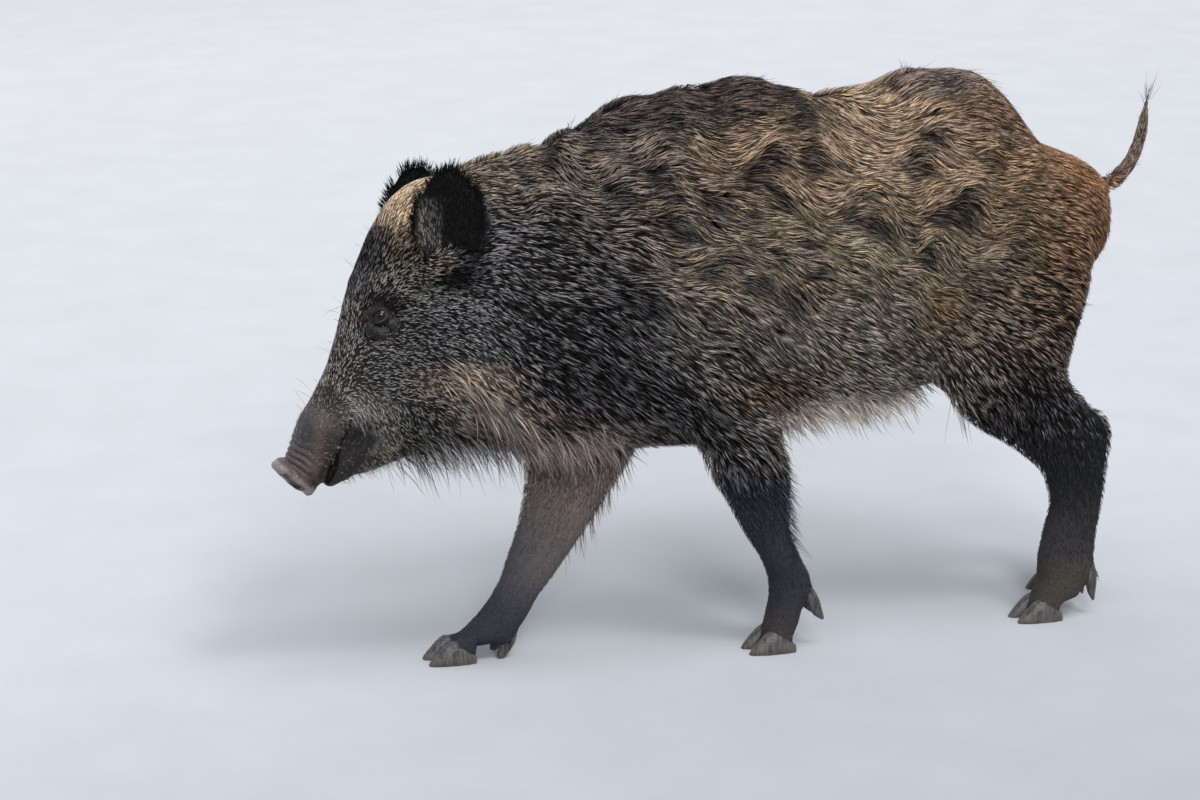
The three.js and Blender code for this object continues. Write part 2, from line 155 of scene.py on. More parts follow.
HOOF_TIP = 180.0  # x of the near fore hoof's tip in the figure
HOOF_LENGTH = 62.0


@dataclass(frozen=True)
class Place:
    """Between the figure's own millimetres and the frame's metres."""

    shift: float

    @classmethod
    def from_frame(cls) -> "Place":
        """Finds the shift from the tip of the near fore hoof."""
        low, _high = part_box("hoof_fore_left_outer")
        return cls(shift=HOOF_TIP - low[0] * 1000.0)

    def figure(self, metres: Array) -> Array:
        """Frame metres as figure millimetres."""
        return np.asarray(metres, float) * 1000.0 + np.array([self.shift, 0.0, 0.0])

    def metres(self, points: Array) -> Array:
        """Figure millimetres as frame metres."""
        return (np.asarray(points, float) - np.array([self.shift, 0.0, 0.0])) / 1000.0


PLACE = Place.from_frame()

HEAD_LEAN = math.radians(26.3)
NOSE = np.array([-396.0, 0.0, 277.0])
DISC_CENTRE = np.array([-396.0, 0.0, 280.0])
DISC_OUT = np.array([-0.669, 0.0, -0.743])
DISC_UP = np.array([-0.743, 0.0, 0.669])
DISC_HALF_WIDTH, DISC_HALF_HEIGHT = 36.0, 28.0
NOSTRIL_OUT, NOSTRIL_DOWN = 17.0, 3.0
NOSTRIL_HALF_WIDTH, NOSTRIL_HALF_HEIGHT = 8.0, 7.5
HEAD_BACK = np.array([math.cos(HEAD_LEAN), 0.0, -math.sin(HEAD_LEAN)])
HEAD_UP = np.array([math.sin(HEAD_LEAN), 0.0, math.cos(HEAD_LEAN)])


def disc_parts(points: Array) -> tuple[Array, Array]:
    """Shares of the nose disc's rim, painted pale as a highlight, and of the inside of its nostrils, painted dark red
    with the shade of the holes.

    Args:
        points: (n, 3) places in the figure.

    Returns:
        (n,) shares of the rim, and (n,) shares of the nostrils.
    """
    offset = points - DISC_CENTRE
    side, tall, out = np.abs(offset[:, 1]), offset @ DISC_UP, offset @ DISC_OUT
    front = out > -16.0
    span = np.hypot(side / DISC_HALF_WIDTH, tall / DISC_HALF_HEIGHT)
    pit = np.hypot((side - NOSTRIL_OUT) / NOSTRIL_HALF_WIDTH, (tall + NOSTRIL_DOWN) / NOSTRIL_HALF_HEIGHT)
    rim = rise(span, 0.86, 0.97) * rise(span, 1.14, 1.05) * rise(out, -3.0, 2.0) * 0.7
    return rim, rise(pit, 1.15, 0.8) * front


def head_coordinates(points: Array) -> tuple[Array, Array, Array]:
    """Back of the forehead line, side and level above the nose, in millimetres."""
    offset = points - NOSE
    return offset @ HEAD_BACK, points[..., 1], offset @ HEAD_UP


@dataclass(frozen=True)
class Ear:
    """The own frame of one ear: across, outwards and along."""

    side: int
    foot: tuple[float, float, float]
    fold: float
    back: float
    out: float
    length: float = 152.0
    half_width: float = 42.0

    def axes(self) -> Array:
        """Rows are the ear's across, thickness and length directions in the figure.

        Returns:
            (3, 3) unit vectors.
        """
        x, y, z = (math.radians(v) for v in (self.out, self.back, self.fold))
        turn = Matrix.Rotation(y, 3, "Y") @ Matrix.Rotation(x, 3, "X") @ Matrix.Rotation(z, 3, "Z")
        axes = np.array(turn).T.copy()
        if self.side > 0:
            axes[:, 1] *= -1.0
        return axes

    def root(self) -> Array:
        """The ear's root in the figure."""
        x, y, z = self.foot
        return np.array([x, -y if self.side > 0 else y, z])

    def local(self, points: Array) -> Array:
        """(n, 3) across, thickness and length coordinates."""
        return (points - self.root()) @ self.axes().T

    def share(self, points: Array) -> Array:
        """How far each point belongs to this ear, 0 to 1."""
        u, v, w = self.local(points).T
        return rise(np.abs(u), 56, 48) * rise(np.abs(v), 30, 22) * rise(w, 34, 52) * rise(w, 176, 166)


EARS = (
    Ear(-1, (-233.0, -82.0, 522.0), 8.0, 3.0, 4.0),
    Ear(1, (-208.0, -78.0, 490.0), 26.0, 0.0, 6.0),
)

TAIL_PATH = np.array([
    [690, 0, 563], [712, 0, 572], [731, 0, 590], [744, 0, 617], [750, 0, 645], [754, 0, 668], [758, 0, 687],
], float)


def tail_share(points: Array) -> Array:
    """How far each point belongs to the tail, 0 to 1."""
    return rise(points[:, 0], 698, 712) * rise(points[:, 2], 545, 560)


def tail_direction(points: Array) -> Array:
    """The direction along the tail at the level of each point.

    Args:
        points: (n, 3) places in the figure.

    Returns:
        (n, 3) unit vectors.
    """
    heading = unit(np.diff(TAIL_PATH, axis=0))
    index = np.clip(np.searchsorted(TAIL_PATH[1:-1, 2], points[:, 2]), 0, len(heading) - 1)
    return heading[index]


# ------------------------------------------------------------------ the plan of the coat

# Soft dabs of coat colour: centre (x, half width out from the mid-plane, z), reach along x, y, z,
# strength, and the colour of the coat there. The coat takes their weighted mean.
DABS = (
    # head
    ((-345, 30, 395), (45, 60, 60), 1.0, (92, 84, 81)),  # muzzle
    ((-360, 0, 375), (30, 26, 70), 1.4, (112, 104, 100)),  # bridge of the nose
    ((-318, 0, 470), (26, 60, 60), 1.0, (78, 77, 76)),  # face
    ((-300, 60, 500), (30, 40, 24), 1.2, (52, 49, 48)),  # brow
    ((-302, 70, 452), (26, 40, 22), 0.9, (84, 78, 74)),  # under the eye
    ((-265, 85, 400), (50, 50, 60), 1.0, (76, 75, 74)),  # cheek
    ((-255, 85, 340), (50, 50, 34), 1.0, (112, 109, 104)),  # pale jowl
    ((-318, 50, 350), (22, 40, 24), 0.9, (118, 110, 104)),  # pale hair over the mouth corner
    ((-335, 0, 290), (50, 40, 26), 0.8, (70, 64, 60)),  # chin
    # neck and shoulder
    ((-170, 90, 520), (60, 60, 70), 1.0, (84, 82, 84)),
    ((-165, 0, 650), (70, 60, 26), 2.6, (142, 128, 112)),  # pale hair behind the ears
    ((-175, 90, 400), (60, 60, 60), 1.0, (84, 83, 83)),
    ((-190, 60, 300), (70, 60, 30), 1.1, (52, 50, 50)),  # dark throat
    ((-80, 110, 560), (70, 60, 70), 1.1, (62, 58, 57)),
    ((-60, 130, 430), (80, 60, 80), 1.3, (46, 45, 46)),
    ((20, 130, 340), (90, 60, 60), 1.4, (42, 42, 44)),  # dark shoulder point
    ((-60, 40, 280), (90, 60, 24), 1.0, (48, 47, 47)),  # breast
    ((40, 0, 715), (80, 50, 26), 1.3, (64, 57, 53)),  # dark crest
    ((130, 20, 725), (50, 60, 22), 1.4, (64, 56, 52)),
    ((-60, 60, 640), (70, 50, 40), 1.0, (67, 61, 56)),
    # back and flank
    ((60, 100, 620), (80, 60, 60), 1.1, (83, 74, 66)),
    ((180, 90, 650), (80, 60, 60), 1.2, (140, 120, 99)),
    ((300, 80, 640), (80, 60, 60), 1.3, (152, 132, 110)),
    ((170, 140, 530), (80, 60, 60), 1.0, (128, 115, 100)),
    ((310, 140, 520), (80, 60, 60), 1.0, (140, 125, 107)),
    ((150, 140, 420), (80, 60, 50), 1.0, (112, 106, 99)),
    ((290, 140, 410), (90, 60, 50), 1.3, (158, 148, 136)),
    ((230, 140, 355), (50, 50, 22), 1.1, (88, 70, 56)),  # rusty patch behind the elbow
    ((400, 140, 390), (60, 60, 44), 1.1, (118, 106, 92)),
    ((402, 130, 450), (26, 50, 26), 1.0, (128, 104, 80)),  # rusty patch before the thigh
    ((325, 80, 300), (66, 70, 30), 4.0, (214, 203, 191)),  # pale belly fringe
    ((200, 60, 280), (80, 60, 20), 1.0, (104, 96, 90)),
    # hind quarters
    ((452, 50, 722), (42, 40, 13), 1.4, (108, 97, 90)),  # grey top of the rump
    ((470, 0, 745), (70, 30, 12), 1.6, (132, 114, 102)),
    ((520, 60, 680), (50, 60, 30), 1.4, (136, 112, 94)),
    ((430, 130, 600), (70, 60, 60), 1.0, (140, 120, 99)),
    ((540, 110, 600), (60, 60, 60), 1.1, (160, 132, 103)),
    ((640, 60, 600), (50, 60, 40), 1.6, (158, 121, 90)),
    ((680, 40, 520), (36, 70, 60), 1.8, (136, 102, 74)),  # orange-brown buttock
    ((600, 120, 500), (60, 50, 60), 1.2, (112, 88, 68)),
    ((480, 140, 520), (60, 60, 50), 1.0, (106, 94, 82)),
    ((520, 140, 420), (70, 60, 50), 1.0, (88, 76, 66)),
    ((610, 120, 400), (50, 60, 50), 1.0, (78, 66, 56)),
    ((470, 110, 325), (60, 60, 40), 2.6, (46, 42, 41)),
    ((560, 90, 300), (80, 60, 40), 1.2, (48, 46, 47)),  # dark hock
    ((650, 60, 200), (70, 50, 60), 1.4, (44, 44, 47)),
    ((630, 50, 110), (70, 50, 34), 1.4, (60, 58, 60)),
    ((620, 50, 66), (60, 50, 20), 1.4, (76, 70, 63)),  # brownish pastern
    # forelegs
    ((150, 90, 280), (60, 50, 40), 1.1, (50, 49, 51)),
    ((190, 60, 180), (60, 50, 60), 1.4, (53, 56, 65)),
    ((235, 50, 90), (50, 40, 40), 1.4, (50, 51, 58)),
    ((230, 50, 40), (50, 40, 20), 1.4, (66, 62, 62)),
    ((-26, 80, 205), (74, 50, 52), 1.6, (122, 108, 102)),
    ((-56, 55, 130), (36, 40, 50), 1.6, (104, 93, 88)),
    ((-98, 55, 150), (22, 40, 56), 2.6, (46, 49, 60)),  # dark front edge of the far foreleg
    ((-120, 50, 66), (60, 40, 32), 1.6, (50, 52, 62)),
    # tail
    ((742, 0, 620), (30, 30, 80), 3.0, (96, 84, 76)),
)


def node_box(name: str) -> list[Array]:
    """The low and the high corner of a node's box, in the figure."""
    return [PLACE.figure(np.array(corner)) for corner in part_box(name)]


def eye_centre(side: int) -> Array:
    """The middle of the eyeball on one side, in the figure."""
    low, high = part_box("eye_left" if side < 0 else "eye_right")
    return PLACE.figure((np.array(low) + np.array(high)) / 2.0)


@dataclass(frozen=True)
class EyeFrame:
    """The own frame of one eye: rearwards and upwards along its opening, and outwards."""

    centre: Array
    rear: Array
    up: Array
    out: Array

    @classmethod
    def of(cls, side: int) -> "EyeFrame":
        """The frame of the left (-1) or the right (1) eye.

        Args:
            side: -1 for the left, 1 for the right.

        Returns:
            The frame.
        """
        out = unit(np.array([-0.40, side * 0.90, 0.12]))
        rear = np.array([0.88, 0.0, 0.44])
        rear = unit(rear - out * dot(rear, out))
        up = np.cross(out, rear) * -side
        return cls(eye_centre(side), rear, up, out)

    def local(self, points: Array) -> Array:
        """Points along rear, up and out."""
        return (points - self.centre) @ np.stack([self.rear, self.up, self.out], axis=1)


def head_dab(back: float, side: float, level: float) -> tuple[float, float, float]:
    """The centre of a dab given in the head's own frame."""
    return tuple(NOSE + HEAD_BACK * back + HEAD_UP * level + np.array([0.0, side, 0.0]))


DABS += (
    (head_dab(22, 46, 111), (13, 30, 12), 16.0, (170, 165, 158)),  # pale patch over the mouth's corner
    (head_dab(40, 50, 118), (18, 30, 10), 12.0, (172, 168, 162)),
    (head_dab(71, 46, 92), (9, 30, 22), 6.0, (140, 135, 127)),
    (head_dab(-11, 34, 108), (20, 40, 18), 3.0, (106, 101, 96)),
    (head_dab(-11, 35, 160), (22, 40, 22), 2.0, (88, 86, 83)),
    (head_dab(22, 60, 165), (26, 40, 26), 1.6, (72, 72, 71)),
    (head_dab(-9, 58, 243), (17, 40, 9), 12.0, (18, 17, 18)),
    (head_dab(-37, 14, 312), (13, 34, 15), 10.0, (32, 30, 31)),  # dark edge of the forehead
    (head_dab(-38, 8, 286), (10, 24, 17), 12.0, (28, 27, 30)),
    (head_dab(-38, 0, 258), (7, 18, 17), 9.0, (34, 34, 37)),
    (head_dab(-24, 0, 366), (26, 36, 27), 14.0, (192, 169, 142)),  # tan band between the ears
    (head_dab(27, 88, 315), (10, 26, 10), 5.0, (76, 67, 60)),  # at the foot of the ear
    # Black hair below the ear's foot, with the ear's shadow painted in.
    ((-220, 90, 528), (15, 34, 9), 9.0, (16, 16, 18)),
    (head_dab(-8, 66, 288), (26, 40, 22), 2.0, (68, 63, 56)),
    (head_dab(20, 76, 277), (26, 40, 20), 1.6, (72, 69, 65)),
    (head_dab(14, 66, 215), (20, 40, 22), 1.6, (66, 64, 65)),
    (head_dab(60, 84, 215), (34, 50, 40), 1.6, (68, 68, 70)),
    (head_dab(110, 60, 118), (30, 50, 24), 3.0, (34, 32, 30)),
    (head_dab(98, 78, 160), (22, 40, 22), 2.0, (78, 75, 71)),
    (head_dab(122, 92, 196), (36, 50, 15), 10.0, (188, 169, 152)),  # buff streak over the jowl
    (head_dab(181, 84, 170), (38, 50, 15), 8.0, (168, 152, 139)),
    ((-190, 84, 566), (15, 34, 34), 9.0, (15, 15, 17)),  # black hair behind the ear, with the ear's shadow painted in
    ((-206, 88, 530), (17, 34, 14), 9.0, (16, 16, 18)),
    ((322, 110, 316), (78, 60, 22), 12.0, (206, 194, 181)),  # pale belly fringe, paler still with painted light from the floor
    ((330, 130, 356), (90, 60, 26), 5.0, (168, 158, 146)),
    ((205, 125, 362), (40, 40, 15), 5.0, (94, 70, 52)),  # rusty behind the elbow
    ((395, 130, 448), (20, 40, 22), 2.0, (120, 98, 76)),  # rusty before the thigh
    ((60, 20, 708), (80, 50, 22), 7.0, (38, 34, 32)),  # dark mane over the shoulders
    ((150, 20, 714), (50, 60, 28), 10.0, (32, 28, 27)),
    ((-30, 30, 240), (60, 60, 60), 6.0, (166, 150, 142)),  # inner side of the far foreleg
    ((-80, 35, 150), (50, 50, 50), 3.0, (116, 112, 114)),
)

# The same for bare skin, and for these the colour is the skin's own
BARE_DABS = (
    (head_dab(-5, 36, 60), (40, 60, 60), 1.0, (92, 78, 73)),
    (head_dab(-6, 0, -8), (30, 60, 13), 7.0, (56, 43, 40)),
    (head_dab(-24, 0, 66), (9, 40, 30), 6.0, (34, 33, 36)),
    (head_dab(-26, 8, 26), (16, 30, 14), 2.0, (62, 58, 62)),
    (head_dab(-6, 30, 12), (20, 40, 12), 2.0, (84, 68, 62)),
    (head_dab(16, 42, 92), (9, 30, 26), 3.0, (46, 40, 39)),
    (head_dab(19, 34, 40), (8, 30, 30), 4.0, (30, 22, 20)),
    (head_dab(52, 38, 60), (30, 40, 60), 16.0, (17, 13, 12)),
    # Painted shade in the fold at the corner of the mouth.
    (head_dab(30, 40, 98), (9, 30, 9), 30.0, (14, 12, 12)),  # dark corner of the mouth
    (head_dab(0, 60, 215), (60, 60, 40), 4.0, (18, 16, 17)),
    (head_dab(20, 66, 212), (6, 40, 11), 5.0, (58, 55, 59)),
    (head_dab(20, 66, 232), (8, 40, 9), 5.0, (64, 56, 53)),
    (head_dab(-20, 50, 215), (5, 40, 8), 9.0, (52, 36, 37)),
    (head_dab(-12, 50, 216), (3, 40, 4), 9.0, (86, 66, 65)),
    (head_dab(0, 58, 203), (18, 40, 13), 14.0, (18, 13, 13)),
    # Dark skin of the upper lid, with the brow's shadow painted in.
    (head_dab(-3, 60, 238), (17, 40, 10), 20.0, (5, 4, 5)),
)


HOLLOW_PITCH = (66.0, 38.0)
HOLLOW_REACH = (23.0, 13.5)
WAVE_REACH = (31.0, 21.0)
# Bluish near-black painted into the hair over the hollows between the locks: painted shade.
HOLLOW_SHADE_TONE = (33, 36, 41)
HOLLOW_CHANCE = np.random.default_rng(11).random((64, 64, 3))


class CoatPlan:
    """What the coat does at any place of the figure: its lie, depth, length and colours."""

    def __init__(self) -> None:
        """Finds the places of the eyes, soles and dewclaws in the frame."""
        self.hair_dabs, self.bare_dabs = (
            [(np.array(place), np.array(reach, float), weight, linear(*tone)) for place, reach, weight, tone in dabs]
            for dabs in (DABS, BARE_DABS))
        self.eyes = [(side, eye_centre(side)) for side in (-1, 1)]
        self.soles = []
        for foot in FEET:
            (low, high), (inner_low, inner_high) = (node_box(f"hoof_{foot}_{toe}") for toe in ("outer", "inner"))
            middle = (low + high + inner_low + inner_high) / 4.0
            self.soles.append((low[0], middle[1]))
        self.claw_roots = []
        for name in HORN:
            if name.startswith("dewclaw"):
                low, high = node_box(name)
                self.claw_roots.append(np.append((low[:2] + high[:2]) / 2.0, high[2] - 3.0))

    # -------- regions

    def head(self, points: Array) -> Array:
        """Share of the head, without the ears."""
        back, _side, level = head_coordinates(points)
        return rise(level, 430, 370) * rise(back, 200, 120) * rise(points[:, 0], -120, -190)

    def bare(self, points: Array) -> Array:
        """Share of the bare skin of the snout and lips.

        Args:
            points: (n, 3) places in the figure.

        Returns:
            (n,) shares, 0 to 1.
        """
        back, _side, level = head_coordinates(points)
        snout = rise(level, 104, 64) * rise(back, 34, 24)
        lip = rise(level, 104, 84) * rise(back, 64 + 0.1 * level, 50 + 0.1 * level) * rise(back, 14, 24)
        mouth = np.maximum(snout, lip) * (points[:, 0] < -250)
        return np.maximum(mouth, self.eye_skin(points))

    def eye_skin(self, points: Array) -> Array:
        """Share of the bare skin round the eyes: lids, bag and outer corner.

        Args:
            points: (n, 3) places in the figure.

        Returns:
            (n,) shares, 0 to 1.
        """
        share = np.zeros(len(points))
        for side, centre in self.eyes:
            offset = points - centre
            a, b = offset @ HEAD_BACK, offset @ HEAD_UP
            near = np.sign(points[:, 1]) == side
            for where, size in (((1, -4), (11, 7)), ((1, -20), (13, 11)), ((15, -9), (6, 11)), ((-12, -10), (6, 9))):
                gap = np.hypot((a - where[0]) / size[0], (b - where[1]) / size[1])
                share = np.maximum(share, rise(gap + 0.12 * noise(points, 5.0, 18), 1.25, 0.75) * near)
        return share * (np.abs(points[:, 1]) > 24)

    def horn(self, points: Array) -> Array:
        """Share of the places where a hoof's horn is bare; the rest of the foot is under hair.

        Args:
            points: (n, 3) places in the figure.

        Returns:
            (n,) shares, 0 to 1.
        """
        share = np.zeros(len(points))
        for tip, middle in self.soles:
            along = (points[:, 0] - tip) / HOOF_LENGTH
            near = (np.abs(points[:, 1] - middle) < 34) & (along > -0.2) & (along < 1.15)
            line = 30.0 - 19.0 * rise(along, 0.4, 1.0)
            share = np.maximum(share, rise(points[:, 2], line + 3.0, line - 1.0) * near)
        return share

    def fetlock(self, points: Array) -> Array:
        """Share of the bulges that the dewclaws grow from."""
        gap = np.min([np.linalg.norm(points - root, axis=1) for root in self.claw_roots], axis=0)
        return rise(gap, 19, 6)

    def pastern(self, points: Array) -> Array:
        """Share of the part between the far forefoot's hoof and fetlock, thick under its weight.

        Args:
            points: (n, 3) places in the figure.

        Returns:
            (n,) shares, 0 to 1.
        """
        tip, middle = self.soles[1]
        along = (points[:, 0] - tip) / HOOF_LENGTH
        near = (np.abs(points[:, 1] - middle) < 40) & (points[:, 2] < 80)
        share = rise(along, 0.5, 0.85) * rise(along, 2.0, 1.05) * near
        return share * rise(points[:, 2], 8, 20) * rise(points[:, 2], 74, 52)

    def ears(self, points: Array) -> Array:
        """Share of either ear."""
        return np.maximum(EARS[0].share(points), EARS[1].share(points))

    def legs(self, points: Array) -> Array:
        """Share of the legs below the elbow and the stifle.

        Args:
            points: (n, 3) places in the figure.

        Returns:
            (n,) shares, 0 to 1.
        """
        x, _y, z = points.T
        fore = rise(z, 285, 225) * (x < 330) * (x > -250)
        hind = rise(z, 320, 240) * (x > 400)
        return np.maximum(fore, hind)

    def smooth(self, points: Array) -> Array:
        """Share of the places whose short dense coat lets little shade between the hairs."""
        x, _y, z = points.T
        return np.maximum(self.legs(points) * rise(z, 300, 180), 0.5 * rise(x, 470, 560) * rise(z, 440, 520))

    def wavy(self, points: Array) -> Array:
        """Share of the long wavy coat of the back.

        Args:
            points: (n, 3) places in the figure.

        Returns:
            (n,) shares, 0 to 1.
        """
        x, _y, z = points.T
        low, high = rise(z, 390, 530) * rise(x, -60, 50), rise(z, 560, 620) * rise(x, -200, -110)
        return np.maximum(low, high) * rise(x, 570, 430)

    # -------- fields

    def lie(self, points: Array, normals: Array) -> Array:
        """Unit directions that the hair lies in, along the surface.

        Args:
            points: (n, 3) places on the skin.
            normals: (n, 3) unit normals there.

        Returns:
            (n, 3) unit vectors, square to the normals.
        """
        x, y, z = points.T
        low = rise(z, 640, 340)
        angle = 14.0 + 20.0 * low
        angle = mix(angle, 52.0 + 18.0 * low, rise(x, 560, 690))
        angle = mix(angle, 64.0, rise(z, 420, 280) * (x > 400))
        angle = mix(angle, 80.0, rise(z, 290, 200) * (x > 400))
        angle = mix(angle, 66.0, rise(z, 330, 240) * (x < 330) * rise(x, -260, -200))
        angle = mix(angle, 77.0, rise(z, 220, 150) * (x < 330) * rise(x, -260, -200))
        angle = mix(angle, 120.0, rise(z, 280, 200) * (x < 110) * (y > 0) * rise(x, -260, -240))
        angle = np.radians(angle)
        way = np.stack([np.cos(angle), 0.30 * np.sign(y) * rise(normals[:, 2], 0.3, 0.9), -np.sin(angle)], axis=1)

        back, _side, level = head_coordinates(points)
        front = rise(back, 16, -22)
        side_way = HEAD_BACK * 0.85 + HEAD_UP * 0.42
        snout_way = HEAD_BACK * 0.45 + HEAD_UP * 0.85
        jowl_way = HEAD_BACK * 0.95 - HEAD_UP * 0.10
        lip_way = HEAD_BACK * 0.80 - HEAD_UP * 0.42
        on_head = mix(np.broadcast_to(side_way, points.shape), snout_way, rise(level, 190, 110))
        on_head = mix(on_head, np.broadcast_to(lip_way, points.shape), rise(back, -2, 18) * rise(level, 160, 125))
        on_head = mix(on_head, np.broadcast_to(jowl_way, points.shape), rise(back, 70, 130))
        on_head = mix(on_head, np.broadcast_to(HEAD_UP + 0.45 * HEAD_BACK, points.shape), front)
        way = mix(way, on_head, self.head(points))

        for ear in EARS:
            across, _thick, along = ear.axes()
            u = ear.local(points)[:, 0]
            fan = along[None, :] + across[None, :] * (0.5 * u / ear.half_width)[:, None]
            way = mix(way, fan, ear.share(points))
        way = mix(way, tail_direction(points), tail_share(points))

        way = unit(way - normals * dot(way, normals)[:, None])
        swing = self.swing(points)[:, None]
        return way * np.cos(swing) + np.cross(normals, way) * np.sin(swing)

    def hollows(self, points: Array) -> tuple[Array, Array]:
        """Hollows between the locks of the back, in staggered rows, and how the coat bends over them.

        Args:
            points: (n, 3) places on the skin.

        Returns:
            (n,) depth from 0 to about 1, and (n,) angle in radians by which the lie turns upwards.
        """
        x, y, z = points.T
        over = z + 0.6 * np.abs(y)
        slope = math.radians(20.0)
        a = x * math.cos(slope) - over * math.sin(slope) + 16.0 * noise(points, 85.0, 3)
        b = x * math.sin(slope) + over * math.cos(slope) + 10.0 * noise(points, 60.0, 4)
        (pitch_a, pitch_b), (reach_a, reach_b), (wide_a, wide_b) = HOLLOW_PITCH, HOLLOW_REACH, WAVE_REACH
        depth, slopes = np.zeros(len(x)), np.zeros(len(x))
        for row_step in (-1, 0, 1):
            row = np.floor(b / pitch_b).astype(int) + row_step
            shift = 0.5 * pitch_a * (row % 2)
            for step in (-1, 0, 1):
                place = np.floor((a - shift) / pitch_a).astype(int) + step
                chance = HOLLOW_CHANCE[place % 64, row % 64]
                da = a - shift - (place + 0.25 + 0.5 * chance[:, 0]) * pitch_a
                db = b - (row + 0.25 + 0.5 * chance[:, 1]) * pitch_b
                size = 0.45 + 0.6 * chance[:, 2]
                depth += size * np.exp(-(da / reach_a) ** 2 - (db / reach_b) ** 2)
                slopes -= size * 2.6 * da / wide_a * np.exp(-(da / wide_a) ** 2 - (db / wide_b) ** 2)
        return depth, np.arctan(slopes)

    def swing(self, points: Array) -> Array:
        """Angle in radians by which waves in the coat turn its lie.

        Args:
            points: (n, 3) places in the figure.

        Returns:
            (n,) angles.
        """
        wavy = self.wavy(points)
        reach = mix(mix(11.0, 20.0, wavy), 7.0, self.legs(points))
        reach = mix(reach, 9.0, self.head(points))
        reach = mix(reach, 6.0, self.ears(points))
        pattern = noise(points, 46.0, 3) + 0.5 * noise(points, 22.0, 4)
        side = np.where(points[:, 1] < 0, 1.0, -1.0)
        _depth, bend = self.hollows(points)
        return np.radians(reach * pattern) + side * wavy * bend

    def relief(self, points: Array) -> Array:
        """Height of the locks of the coat, from -1 in its hollows to 1 on its ridges.

        Args:
            points: (n, 3) places in the figure.

        Returns:
            (n,) heights.
        """
        depth, _bend = self.hollows(points)
        height = 0.85 - 2.5 * depth + 0.4 * noise(points, 22.0, 11)
        return np.clip(mix(0.45 * noise(points, 26.0, 12), height, self.wavy(points)), -1.0, 1.0)

    def hollow_shade(self, points: Array) -> Array:
        """Share of the painted shade in the hollows between the locks."""
        return rise(self.relief(points), 0.1, -0.6) * mix(0.3, 1.0, self.wavy(points))

    def depth(self, points: Array, normals: Array) -> Array:
        """How deep the coat is, in millimetres.

        Args:
            points: (n, 3) places in the figure.
            normals: (n, 3) unit normals there.

        Returns:
            (n,) depths.
        """
        x, _y, z = points.T
        trunk = 14.0 + 2.0 * rise(z, 420, 600) * rise(x, -100, 60)
        trunk = mix(trunk, 9.0, rise(normals[:, 2], 0.25, 0.8) * rise(z, 450, 520))
        trunk = mix(trunk, 12.0, rise(x, 560, 660))
        trunk = mix(trunk, 20.0, rise(z, 340, 290) * rise(x, -150, -60) * rise(x, 470, 430))
        trunk = mix(trunk, 12.0, rise(x, 0, -140))
        leg = mix(9.0, 2.2, rise(z, 260, 120))
        depth = mix(trunk, leg, self.legs(points))
        back, _side, level = head_coordinates(points)
        head = mix(3.2, 8.0, rise(level, 150, 330))
        head = mix(head, 12.0, rise(back, 80, 130))
        head = mix(head, 8.0, rise(level, 330, 390)) * (1.0 - 0.45 * rise(back, -8, -26))
        depth = mix(depth, head, self.head(points))
        depth = mix(depth, 0.0, self.bare(points))
        depth = mix(depth, 0.0, rise(level, 34, 20) * (x < -330))
        depth = mix(depth, 2.0, self.ears(points))
        low = rise(z, 100, 70)
        depth = mix(depth, 0.6, low)
        depth = mix(depth, 3.2, self.horn(points) * low)
        return mix(depth, 3.0, tail_share(points))

    def length(self, points: Array) -> Array:
        """Length of the hair in millimetres.

        Args:
            points: (n, 3) places in the figure.

        Returns:
            (n,) lengths.
        """
        x, _y, z = points.T
        trunk = 33.0 + 15.0 * self.wavy(points)
        trunk = mix(trunk, 24.0, rise(x, -20, -130) * rise(z, 330, 380))
        trunk = mix(trunk, 26.0, rise(x, 590, 680))
        trunk = mix(trunk, 24.0, rise(z, 470, 340) * (x > 440))
        leg = mix(18.0, 9.0, rise(z, 260, 130))
        length = mix(trunk, leg, self.legs(points))
        back, _side, level = head_coordinates(points)
        head = mix(10.0, 15.0, rise(level, 120, 330))
        head = mix(head, 6.0, rise(level, 125, 95) * rise(back, 10, 0))
        head = mix(head, 14.0, np.exp(-((back - 26) / 24) ** 2 - ((level - 112) / 14) ** 2))
        head = mix(head, 26.0, rise(back, 80, 140))
        head = mix(head, 30.0, rise(level, 350, 400))
        length = mix(length, head, self.head(points))
        length = mix(length, 13.0, self.ears(points))
        return mix(length, 18.0, tail_share(points))

    def density(self, points: Array) -> Array:
        """Tufts over a square centimetre, as a relative number.

        Args:
            points: (n, 3) places in the figure.

        Returns:
            (n,) numbers.
        """
        thick = mix(np.ones(len(points)), 1.7, self.legs(points))
        thick = mix(thick, 2.3, self.head(points))
        thick = mix(thick, 2.2, self.ears(points))
        return thick * (1.0 - self.bare(points))

